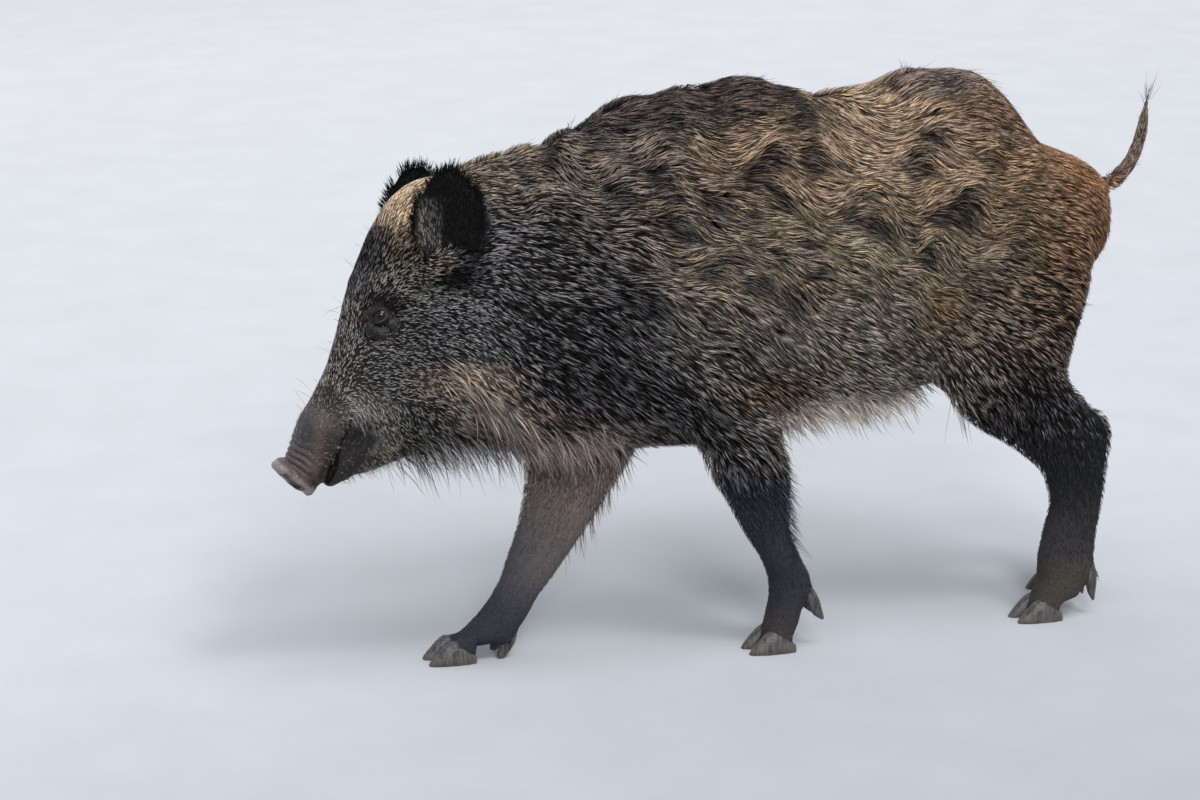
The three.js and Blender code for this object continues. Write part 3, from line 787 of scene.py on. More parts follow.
    def colour(self, points: Array) -> Array:
        """(n, 3) mean colour of the coat, scene-linear.

        Args:
            points: (n, 3) places in the figure.

        Returns:
            (n, 3) colours.
        """
        folded = points * np.array([1.0, 0.0, 1.0]) + np.abs(points) * np.array([0.0, 1.0, 0.0])
        colour = self._blended(folded, self.hair_dabs)
        x, _y, z = points.T
        body = rise(x, -160, -60) * rise(z, 270, 330)
        colour = colour * (1.0 + (0.16 + 0.3 * self.wavy(points)) * body * rise(z, 330, 480))[:, None]
        colour = colour * (1.15 + 0.18 * noise(points, 34.0, 21))[:, None]
        for ear in EARS:
            u, v, w = ear.local(points).T
            inside = rise(v, 4, -6) * rise(u, 2, -9) * rise(u, -42, -31) * rise(w, 116, 86)
            smudge = np.exp(-((u + 2) / 12) ** 2 - ((w - 34) / 14) ** 2) * rise(v, 4, -6)
            tone = mix(linear(7, 7, 9), linear(92, 90, 84), inside[:, None])
            tone = mix(tone, linear(96, 82, 72), smudge[:, None] * 0.8)
            colour = mix(colour, tone, ear.share(points))
        bare = self.bare(points)
        if np.any(bare > 0.01):
            colour = mix(colour, self._blended(folded, self.bare_dabs), bare)
            rim, inside = disc_parts(points)
            # Painted highlight: the rim of the nose disc is painted pale.
            colour = mix(colour, linear(140, 130, 127), rim * bare)
            # The nostrils' red lining, darkened with painted shade of the holes.
            colour = mix(colour, linear(30, 12, 12), inside * bare)
        return colour

    @staticmethod
    def _blended(places: Array, dabs: list[tuple[Array, Array, float, Array]]) -> Array:
        """Colours of all dabs, blended by how near they are.

        Args:
            places: (n, 3) places, on either side alike.
            dabs: Centre, reach, strength and tone of each dab.

        Returns:
            (n, 3) colours.
        """
        total = np.zeros((len(places), 3))
        weights = np.full((len(places), 1), 1e-6)
        for centre, reach, strength, tone in dabs:
            gap = (places - centre) / (reach * np.array([1.0, 1.6, 1.0]))
            weight = (strength * np.exp(-dot(gap, gap)))[:, None] + 1e-7
            total += weight * tone
            weights += weight
        return total / weights


PLAN = CoatPlan()

# ------------------------------------------------------------------ meshes


def new_object(name: str, mesh: Mesh) -> bpy.types.Object:
    """Links a mesh to the scene as an object at the origin.

    Args:
        name: Its name.
        mesh: The mesh.

    Returns:
        The object.
    """
    obj = bpy.data.objects.new(name, mesh)
    bpy.context.scene.collection.objects.link(obj)
    return obj


def mesh_from_arrays(name: str, points: Array, faces: list[Array], smooth: bool = True) -> Mesh:
    """Makes a mesh quickly from arrays.

    Args:
        name: The mesh's name.
        points: (n, 3) vertices in figure millimetres.
        faces: Arrays of vertex numbers, one array of shape (m, k) for each number of corners.
        smooth: Whether the faces are shaded smooth.

    Returns:
        The new mesh, in metres.
    """
    mesh = bpy.data.meshes.new(name)
    mesh.vertices.add(len(points))
    mesh.vertices.foreach_set("co", PLACE.metres(points).astype(np.float32).ravel())
    corners = np.concatenate([f.ravel() for f in faces]).astype(np.int32)
    sizes = np.concatenate([np.full(len(f), f.shape[1]) for f in faces])
    starts = np.concatenate([[0], np.cumsum(sizes)[:-1]]).astype(np.int32)
    mesh.loops.add(len(corners))
    mesh.loops.foreach_set("vertex_index", corners)
    mesh.polygons.add(len(sizes))
    mesh.polygons.foreach_set("loop_start", starts)
    mesh.update(calc_edges=True)
    mesh.polygons.foreach_set("use_smooth", np.full(len(sizes), smooth))
    return mesh


def read_values(items: bpy.types.bpy_prop_collection, name: str, width: int, kind: type = np.int32) -> Array:
    """Reads one property of many vertices, loops or triangles.

    Args:
        items: The collection that has the property.
        name: The property's name.
        width: How many numbers it has.
        kind: Type of the numbers.

    Returns:
        (n, width) numbers.
    """
    values = np.empty(len(items) * width, kind)
    items.foreach_get(name, values)
    return values.reshape(-1, width)


def mesh_points(mesh: Mesh) -> Array:
    """The vertices of a mesh as (n, 3) figure millimetres."""
    return PLACE.figure(read_values(mesh.vertices, "co", 3, np.float32))


def mesh_normals(mesh: Mesh) -> Array:
    """The vertex normals of a mesh."""
    return read_values(mesh.vertex_normals, "vector", 3, np.float32).astype(float)


def solid_copy(*names: str) -> Mesh:
    """Copies the solids of CAD nodes into one mesh and merges their loose corners.

    Args:
        names: Names of the nodes.

    Returns:
        The new mesh.
    """
    bm = bmesh.new()
    for name in names:
        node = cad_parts[name]
        copy = node.data.copy()
        copy.transform(node.matrix_world)
        bm.from_mesh(copy)
        bpy.data.meshes.remove(copy)
    bmesh.ops.remove_doubles(bm, verts=bm.verts, dist=WELD)
    mesh = bpy.data.meshes.new("solids")
    bm.to_mesh(mesh)
    bm.free()
    return mesh


def even_mesh(solids: Mesh, voxel: float, name: str) -> Mesh:
    """Turns solids into a mesh of even quads.

    Args:
        solids: The solids; they are removed afterwards.
        voxel: Size of the quads in metres.
        name: Its name.

    Returns:
        The new mesh.
    """
    obj = new_object("solids_copy", solids)
    remesh = obj.modifiers.new("even", "REMESH")
    remesh.mode = "VOXEL"
    remesh.voxel_size = voxel
    mesh = bpy.data.meshes.new_from_object(obj.evaluated_get(bpy.context.evaluated_depsgraph_get()))
    bpy.data.objects.remove(obj)
    bpy.data.meshes.remove(solids)
    mesh.name = name
    return mesh


def set_points(mesh: Mesh, points: Array) -> None:
    """Moves a mesh's vertices to (n, 3) figure millimetres."""
    mesh.vertices.foreach_set("co", PLACE.metres(points).astype(np.float32).ravel())
    mesh.update()


def set_colour(mesh: Mesh, name: str, colours: Array) -> None:
    """Stores (n, 3) scene-linear colours on the vertices of a mesh.

    Args:
        mesh: The mesh.
        name: Its name.
        colours: (n, 3) scene-linear colours.
    """
    layer = mesh.attributes.new(name, "FLOAT_COLOR", "POINT")
    rgba = np.ones((len(colours), 4), np.float32)
    rgba[:, :3] = colours
    layer.data.foreach_set("color", rgba.ravel())


def set_vectors(mesh: Mesh, name: str, vectors: Array) -> None:
    """Stores (n, 3) vectors on the vertices of a mesh."""
    layer = mesh.attributes.new(name, "FLOAT_VECTOR", "POINT")
    layer.data.foreach_set("vector", vectors.astype(np.float32).ravel())


def lay_out(points: Array, edges: Array, rounds: int, share: Array | float = 0.5) -> Array:
    """Smooths values over a mesh's edges.

    Args:
        points: (n, k) values at the vertices.
        edges: (m, 2) vertex numbers.
        rounds: How often each value moves towards its neighbours' mean.
        share: How far it moves, for all or for each vertex.

    Returns:
        The smoothed (n, k) values.
    """
    size = len(points)
    count = np.bincount(edges.ravel(), minlength=size)[:, None]
    share = np.asarray(share, float)
    share = share[:, None] if share.ndim else share
    for _ in range(rounds):
        total = np.empty_like(points)
        for k in range(points.shape[1]):
            column = points[:, k]
            total[:, k] = (np.bincount(edges[:, 0], column[edges[:, 1]], size)
                           + np.bincount(edges[:, 1], column[edges[:, 0]], size))
        points = points + share * (total / np.maximum(count, 1) - points)
    return points


# ------------------------------------------------------------------ skin


@dataclass
class Skin:
    """One skin over all the flesh, the coat's depth inside the solids."""

    voxel: float = 0.0057
    lock_height: float = 7.0
    fetlock_bulge: float = 1.5
    pastern_depth: float = 13.0
    obj: bpy.types.Object | None = None
    points: Array = field(default_factory=lambda: np.empty((0, 3)))
    normals: Array = field(default_factory=lambda: np.empty((0, 3)))
    triangles: Array = field(default_factory=lambda: np.empty((0, 3), int))
    corner_uv: Array = field(default_factory=lambda: np.empty((0, 3, 2)))
    shade: Array = field(default_factory=lambda: np.ones(1))
    tree: BVHTree | None = None

    def build(self) -> None:
        """Joins the flesh, makes it one even mesh, and shapes it."""
        mesh = even_mesh(solid_copy(*FLESH, *HORN), self.voxel, "skin")
        self._keep_largest(mesh)
        self._refine(mesh)
        self._shape(mesh)
        self.obj = new_object("skin", mesh)
        self._unwrap()
        self._measure()
        self._colour()

    @staticmethod
    def _keep_largest(mesh: Mesh) -> None:
        """Deletes all but the largest connected body.

        Args:
            mesh: The mesh.
        """
        bm = bmesh.new()
        bm.from_mesh(mesh)
        bm.verts.ensure_lookup_table()
        seen = np.zeros(len(bm.verts), bool)
        bodies = []
        for start in bm.verts:
            if seen[start.index]:
                continue
            seen[start.index] = True
            body, stack = [], [start]
            while stack:
                vert = stack.pop()
                body.append(vert)
                for edge in vert.link_edges:
                    other = edge.other_vert(vert)
                    if not seen[other.index]:
                        seen[other.index] = True
                        stack.append(other)
            bodies.append(body)
        bodies.sort(key=len, reverse=True)
        for body in bodies[1:]:
            bmesh.ops.delete(bm, geom=body, context="VERTS")
        bm.to_mesh(mesh)
        bm.free()

    def _refine(self, mesh: Mesh) -> None:
        """Makes the mesh finer on the head, and finest at the snout and the eyes.

        Args:
            mesh: The mesh.
        """
        for level in (0, 1):
            points = mesh_points(mesh)
            back, _side, height = head_coordinates(points)
            if level == 0:
                chosen = (height > -60) & (height < 290) & (back < 80) & (points[:, 0] < -200)
            else:
                snout = (height < 74) & (back < 60) & (points[:, 0] < -200)
                eye = np.zeros(len(points), bool)
                for side in (-1, 1):
                    gap = points - eye_centre(side)
                    eye |= np.linalg.norm(gap, axis=1) < 40
                chosen = snout | eye
            bm = bmesh.new()
            bm.from_mesh(mesh)
            bm.verts.ensure_lookup_table()
            edges = [e for e in bm.edges if chosen[e.verts[0].index] and chosen[e.verts[1].index]]
            bmesh.ops.subdivide_edges(bm, edges=edges, cuts=1, use_grid_fill=True)
            bm.to_mesh(mesh)
            bm.free()

    def _shape(self, mesh: Mesh) -> None:
        """Smooths the skin, sinks it under the coat and adds the forms of the head.

        Args:
            mesh: The mesh.
        """
        edges = read_values(mesh.edges, "vertices", 2)
        points = mesh_points(mesh)
        fine = np.maximum(PLAN.ears(points), rise(head_coordinates(points)[2], 60, 30) * (points[:, 0] < -330))
        tree = self._tree_of(mesh)
        low = rise(points[:, 2], 170, 110)
        points = lay_out(points, edges, 26, mix(0.5, 0.1, np.maximum(fine, low)) * (1.0 - 0.6 * low))
        set_points(mesh, points)
        normals = mesh_normals(mesh)
        normals = unit(lay_out(normals, edges, 4))
        sunk = np.empty(len(points))
        for i, (point, normal) in enumerate(zip(points.tolist(), normals)):
            place, _normal, _index, _gap = tree.find_nearest(point)
            sunk[i] = float(np.dot(np.array(place) - point, normal))
        move = sunk - PLAN.depth(points, normals) + self.lock_height * PLAN.relief(points) * PLAN.wavy(points)
        below = rise(dot(normals, np.array([0.7, 0.0, -0.7])), -0.2, 0.5)
        move += self.fetlock_bulge * PLAN.fetlock(points) + self.pastern_depth * below * PLAN.pastern(points)
        move = lay_out(move[:, None], edges, 6)[:, 0]
        points = points + normals * move[:, None]
        points = lay_out(points, edges, 3, mix(0.4, 0.05, fine))
        set_points(mesh, points)
        forms = HeadForms(points, unit(lay_out(mesh_normals(mesh), edges, 2)))
        set_points(mesh, forms.shaped())
        self.shade = forms.shade
        mesh.polygons.foreach_set("use_smooth", np.ones(len(mesh.polygons), bool))

    @staticmethod
    def _tree_of(mesh: Mesh) -> BVHTree:
        """A search tree over a mesh, in figure millimetres.

        Args:
            mesh: The mesh.

        Returns:
            The tree.
        """
        mesh.calc_loop_triangles()
        triangles = read_values(mesh.loop_triangles, "vertices", 3)
        return BVHTree.FromPolygons(mesh_points(mesh).tolist(), triangles.tolist(), all_triangles=True)

    def _unwrap(self) -> None:
        """Gives the skin an unwrap of its own shape."""
        bpy.context.view_layer.objects.active = self.obj
        self.obj.select_set(True)
        self.obj.data.uv_layers.new(name="OFBake")
        bpy.ops.object.mode_set(mode="EDIT")
        bpy.ops.mesh.select_all(action="SELECT")
        bpy.ops.uv.smart_project(angle_limit=math.radians(66), island_margin=0.004)
        bpy.ops.object.mode_set(mode="OBJECT")
        self.obj.select_set(False)

    def _measure(self) -> None:
        """Keeps the arrays that the coat is planted with."""
        mesh = self.obj.data
        self.tree = self._tree_of(mesh)
        self.triangles = read_values(mesh.loop_triangles, "vertices", 3)
        uv = read_values(mesh.uv_layers["OFBake"].uv, "vector", 2, np.float32)
        self.corner_uv = uv[read_values(mesh.loop_triangles, "loops", 3)]
        self.points = mesh_points(mesh)
        self.normals = mesh_normals(mesh)

    def _colour(self) -> None:
        """Stores the coat's markings with the head's painted shade, and the share of bare skin, on the skin."""
        mesh = self.obj.data
        # The tone carries the painted shade of the head's creases.
        set_colour(mesh, "Tone", PLAN.colour(self.points) * self.shade[:, None])
        bare = PLAN.bare(self.points)
        wet = rise((self.points - DISC_CENTRE) @ DISC_OUT, -8, 2) * (self.points[:, 0] < -340)
        set_vectors(mesh, "Cover", np.stack([bare, PLAN.smooth(self.points), wet], axis=1))
        lie = PLAN.lie(self.points, self.normals)
        set_vectors(mesh, "Lie", unit(lie * 0.8 + self.normals * 0.6))
        _back, _side, level = head_coordinates(self.points)
        bristly = bare * (1 - wet) * rise(level, 22, 40) * (self.points[:, 0] < -200)
        set_vectors(mesh, "Bristly", np.repeat(bristly[:, None], 3, axis=1))

    def project(self, points: Array) -> tuple[Array, Array]:
        """The nearest places on the skin, and the smooth normals there.

        Args:
            points: (n, 3) places in the figure.

        Returns:
            (n, 3) places, and (n, 3) unit normals.
        """
        places = np.empty_like(points)
        index = np.empty(len(points), int)
        find = self.tree.find_nearest
        for i, point in enumerate(points.tolist()):
            place, _normal, index[i], _gap = find(point)
            places[i] = place
        return places, unit(self.normals[self.triangles[index]].mean(axis=1))

    def plant(self, count: int, weight: Array, seed: int) -> "Roots":
        """Spreads roots evenly over the skin.

        Args:
            count: How many roots.
            weight: (n,) relative density at each vertex.
            seed: Seed of the random numbers.

        Returns:
            The roots.
        """
        rng = np.random.default_rng(seed)
        a, b, c = (self.points[self.triangles[:, k]] for k in range(3))
        area = 0.5 * np.linalg.norm(np.cross(b - a, c - a), axis=1)
        mass = np.cumsum(area * weight[self.triangles].mean(axis=1))
        ticks = (np.arange(count) + rng.random(count)) / count * mass[-1]
        chosen = np.minimum(np.searchsorted(mass, ticks), len(area) - 1)
        u, v = rng.random((2, count))
        over = u + v > 1
        u[over], v[over] = 1 - u[over], 1 - v[over]
        shares = np.stack([1 - u - v, u, v], axis=1)
        corners = self.triangles[chosen]
        points = np.einsum("ni,nij->nj", shares, self.points[corners])
        normals = unit(np.einsum("ni,nij->nj", shares, self.normals[corners]))
        uv = np.einsum("ni,nij->nj", shares, self.corner_uv[chosen])
        return Roots(points, normals, uv)


@dataclass
class Roots:
    """Places where hair grows: points, normals and their place on the skin's unwrap."""

    points: Array
    normals: Array
    uv: Array

    def __len__(self) -> int:
        """How many roots there are."""
        return len(self.points)

    def where(self, keep: Array) -> "Roots":
        """Only the roots for which `keep` is true."""
        return Roots(self.points[keep], self.normals[keep], self.uv[keep])


class HeadForms:
    """Forms of the head that are added to the smooth skin: mouth, nose disc, folds, brows, eye hollows and ear tips,
    with painted shade in the creases.
    """

    def __init__(self, points: Array, normals: Array) -> None:
        """Starts from the smooth skin.

        Args:
            points: (n, 3) places in the figure.
            normals: (n, 3) unit normals there.
        """
        self.points = points
        self.normals = normals
        self.back, self.side, self.level = head_coordinates(points)
        self.push = np.zeros(len(points))
        self.moved = np.zeros(points.shape)
        self.shade = np.ones(len(points))

    def shaped(self) -> Array:
        """The points after all forms.

        Returns:
            (n, 3) points.
        """
        self._mouth()
        self._disc()
        self._wrinkles()
        self._eyes()
        moved = self.points + self.normals * self.push[:, None] + self.moved
        return self._eye_hollows(self._ear_tips(moved))

    def _mouth(self) -> None:
        """The line of the closed mouth, with the upper lip swollen over it and painted shade along the line."""
        reach = rise(self.level, 104, 92) * rise(self.level, -30, -12) * (self.points[:, 0] < -200)
        line = 31.0 - 0.115 * (self.level - 20.0) + 1.5 * np.sin(self.level / 16.0)
        gap = self.back - line
        self.push -= 5.5 * np.exp(-(gap / 2.6) ** 2) * reach
        # Painted shade along the mouth line.
        self.shade *= 1.0 - 0.85 * np.exp(-(gap / 3.4) ** 2) * reach
        self.push += 2.4 * np.exp(-((gap + 7.0) / 4.5) ** 2) * reach
        self.push += 1.6 * np.exp(-((gap - 9.0) / 6.0) ** 2) * reach

    def _disc(self) -> None:
        """The nose disc: a raised rim round a slightly domed face, and two nostrils."""
        offset = self.points - DISC_CENTRE
        across, tall = offset[:, 1] / DISC_HALF_WIDTH, offset @ DISC_UP / DISC_HALF_HEIGHT
        out = offset @ DISC_OUT
        span = np.hypot(across, tall)
        face = rise(out, 2, 9) * rise(span, 1.25, 1.05)
        self.push += face * (1.5 * np.exp(-((span - 0.95) / 0.08) ** 2) - 1.2 * np.exp(-((span - 0.78) / 0.09) ** 2))
        for side in (-1, 1):
            pit = np.hypot((offset[:, 1] - side * NOSTRIL_OUT) / NOSTRIL_HALF_WIDTH,
                           (offset @ DISC_UP + NOSTRIL_DOWN) / NOSTRIL_HALF_HEIGHT)
            self.push -= 10.0 * rise(pit, 1.1, 0.6) * face
            self.push += 1.2 * np.exp(-((pit - 1.35) / 0.2) ** 2) * face
        behind = np.exp(-((out + 9.0) / 5.0) ** 2) * rise(span, 0.6, 0.9) * rise(self.level, 40, 25)
        self.push -= 2.6 * behind * (self.points[:, 0] < -340)
        # the sides of the disc lie further back than its middle, in a wavy line
        bent = np.minimum(np.abs(across), 1.05) ** 2
        wavy = 3.4 * np.exp(-((tall - 0.62) / 0.17) ** 2) - 2.4 * np.exp(-((tall - 0.2) / 0.24) ** 2)
        hold = rise(out, -11, 9) * (self.points[:, 0] < -340) * (self.level < 60)
        self.moved = np.outer(-(10.0 * bent + wavy * rise(np.abs(across), 0.4, 0.8)) * hold, DISC_OUT)

    def _wrinkles(self) -> None:
        """Folds of bare skin across the snout, behind the nose disc, with painted shade in their grooves and a painted
        highlight on their ridges.
        """
        out = (self.points - DISC_CENTRE) @ DISC_OUT
        top = rise(self.back, 12, -14)
        reach = rise(out, -7, -10) * rise(out, -46, -26) * top * (self.points[:, 0] < -330)
        bend = out + 0.14 * np.abs(self.side) + 2.6 * noise(self.points, 15.0, 5)
        fold = np.abs(np.sin(bend * math.pi / 7.4))
        reach = reach * rise(self.level, -4, 10)
        self.push += (2.9 * fold ** 0.7 - 2.0) * reach
        # Painted shade in the grooves of the folds and painted highlight on their ridges.
        self.shade *= 1.0 - (0.75 * rise(fold, 0.45, 0.05) - 0.35 * rise(fold, 0.7, 1.0)) * reach
        bumps = noise(self.points, 3.6, 14) + 0.6 * noise(self.points, 7.5, 15)
        self.push += 0.32 * bumps * rise(self.level, 110, 80) * (self.points[:, 0] < -250) * (1 - reach)

    def _eyes(self) -> None:
        """The brow, the socket and the bags under the eyes, with painted shade in the crease round each eye and
        stripes of painted light and shade below it.
        """
        for side in (-1, 1):
            offset = self.points - eye_centre(side)
            a, b = offset @ HEAD_BACK, offset @ HEAD_UP
            near = (np.sign(self.points[:, 1]) == side) & (np.abs(self.points[:, 1]) > 20)
            bag = np.hypot((a - 1) / 15.5, (b + 22) / 10.5)
            crease = np.hypot((a - 2) / 19.0, (b + 4) / 14.0)
            self.push += near * (4.5 * np.exp(-(a / 20) ** 2 - ((b - 17) / 7) ** 2)
                                 - 2.6 * np.exp(-(a / 17) ** 2 - (b / 12) ** 2)
                                 + 3.0 * rise(bag, 1.0, 0.3) - 1.8 * np.exp(-((bag - 1.18) / 0.14) ** 2)
                                 - 2.0 * np.exp(-((crease - 1.0) / 0.1) ** 2) * rise(a, 4, 12))
            # Painted shade in the crease round the eye.
            self.shade *= 1.0 - 0.7 * near * np.exp(-((crease - 0.8) / 0.12) ** 2) * rise(a, 4, 10)
            # Stripes of painted light and shade over the bag below the eye.
            streaks = np.sin(a * 2.3 + 1.5 * np.sin(b * 0.4)) * rise(b, -6, -12) * rise(bag, 1.5, 1.0)
            self.shade *= 1.0 + 0.3 * near * streaks

    @staticmethod
    def _ear_tips(points: Array) -> Array:
        """Draws the skin of the ears down, to leave room for the long hair at their edges.

        Args:
            points: (n, 3) places in the figure.

        Returns:
            (n, 3) moved points.
        """
        for ear in EARS:
            across, _thick, along = ear.axes()
            u, _v, w = ear.local(points).T
            share = ear.share(points) * rise(w, 0.4 * ear.length, ear.length)
            wider = ear.share(points) * np.where(u > 0, 0.30, 0.22) * rise(w, 0.25 * ear.length, 0.5 * ear.length)
            points = points - np.outer(share * 7.0, along) + np.outer(wider * u, across)
        return points

    def _eye_hollows(self, points: Array) -> Array:
        """Presses the skin behind the eyeball's front, inside the opening of the lids.

        Args:
            points: (n, 3) places in the figure.

        Returns:
            (n, 3) moved points.
        """
        for side in (-1, 1):
            opening = EyeFrame.of(side)
            rear, up, out = opening.local(points).T
            gap = np.hypot(rear / 11.5, up / 8.0)
            sink = rise(gap, 1.25, 0.9) * (np.abs(out) < 40)
            points = points - np.outer(sink * 11.0, opening.out)
        return points


# ------------------------------------------------------------------ tufts

MOST_TRIANGLES = 190_000  # in one piece of the coat
LOWEST_HAIR = 1.2  # height of the lowest blade's centre line over the floor
PATCH_HALF_WIDTH, PATCH_LENGTH = 0.00075, 0.003  # of one blade on the skin's unwrap

# Widths of a blade's inner rings from root to tip, as shares of its width, by its number of segments
BLADE_WIDTHS = {2: (1.0,), 3: (0.95, 0.85), 4: (0.9, 1.0, 0.65)}


@dataclass(frozen=True)
class TuftStyle:
    """How the tufts of one part of the coat are made. Lengths are in millimetres."""

    guides: int
    per_guide: int
    width: float
    segments: int
    spread: float
    clump: float = 0.5
    lift: float = 0.9
    wave: float = 0.0
    length: float = 1.0
    stray: float = 0.12
    stand: float = 0.0
    hang: float = 0.0
    pale: float = 1.75
    dark: float = 0.38
    pale_share: float = 0.5
    uneven: float = 0.25
    root: float = 0.16


@dataclass
class Tufts:
    """Many blades at once: their centre lines, widths, colours and places on the unwrap."""

    lines: Array
    across: Array
    normals: Array
    widths: Array
    tones: Array
    roots: Array
    uv: Array
    chance: Array

    def __len__(self) -> int:
        """How many blades there are."""
        return len(self.lines)

    def where(self, keep: Array) -> "Tufts":
        """Only the blades for which `keep` is true."""
        return Tufts(*(getattr(self, each.name)[keep] for each in fields(self)))

    def triangles(self) -> int:
        """How many triangles the blades take."""
        return len(self) * 6 * (self.lines.shape[1] - 2)

    def mesh(self, name: str) -> Mesh:
        """The blades as one mesh of closed, three-sided bodies that taper to both ends.

        Args:
            name: Its name.

        Returns:
            The new mesh.
        """
        count, rings = len(self), self.lines.shape[1] - 2
        line, across, normal = self.lines[:, 1:-1], self.across[:, 1:-1], self.normals[:, 1:-1]
        half = self.widths[:, :, None] * 0.5
        ridge = self.widths[:, :, None] * 0.36
        ring = np.stack([line - across * half, line + across * half, line + normal * ridge], axis=2)
        points = np.concatenate([self.lines[:, :1], ring.reshape(count, rings * 3, 3), self.lines[:, -1:]], axis=1)
        size = rings * 3 + 2
        base = (np.arange(count) * size)[:, None, None]
        last = size - 4
        corners = [(k, (k + 1) % 3) for k in range(3)]
        tris = [[0, 1 + b, 1 + a] for a, b in corners] + [[last + a, last + b, size - 1] for a, b in corners]
        quads = [[r * 3 + 1 + a, r * 3 + 1 + b, r * 3 + 4 + b, r * 3 + 4 + a]
                 for r in range(rings - 1) for a, b in corners]
        faces = [(np.array(tris)[None] + base).reshape(-1, 3)]
        if quads:
            faces.insert(0, (np.array(quads)[None] + base).reshape(-1, 4))
        mesh = mesh_from_arrays(name, points.reshape(-1, 3), faces)
        along = np.linspace(0, 1, rings + 2)
        spot = np.concatenate([[0.0], np.repeat(along[1:-1], 3), [1.0]])
        edge = np.array([0.0] + [-1.0, 1.0, 0.0] * rings + [0.0])
        tones = [self.tones[:, :1], np.repeat(self.tones[:, 1:-1], 3, axis=1), self.tones[:, -1:]]
        set_colour(mesh, "Tone", np.concatenate(tones, axis=1).reshape(-1, 3))
        strand = np.empty((count, size, 3))
        strand[:, :, 0] = self.roots[:, None]
        strand[:, :, 1] = spot[None]
        strand[:, :, 2] = self.chance[:, None]
        set_vectors(mesh, "Strand", strand.reshape(-1, 3))
        self._unwrap(mesh, edge, spot)
        return mesh

    def _unwrap(self, mesh: Mesh, edge: Array, spot: Array) -> None:
        """Puts each blade's patch of the unwrap at its root's place.

        Args:
            mesh: The mesh.
            edge: Side of each vertex of a blade, -1 to 1.
            spot: How far along the blade it lies, 0 to 1.
        """
        patch = np.stack([edge * PATCH_HALF_WIDTH, (spot - 0.5) * PATCH_LENGTH], axis=1)
        at_points = (self.uv[:, None, :] + patch[None]).reshape(-1, 2)
        corners = read_values(mesh.loops, "vertex_index", 1)[:, 0]
        layer = mesh.uv_layers.new(name="OFBake")
        layer.uv.foreach_set("vector", at_points[corners].astype(np.float32).ravel())


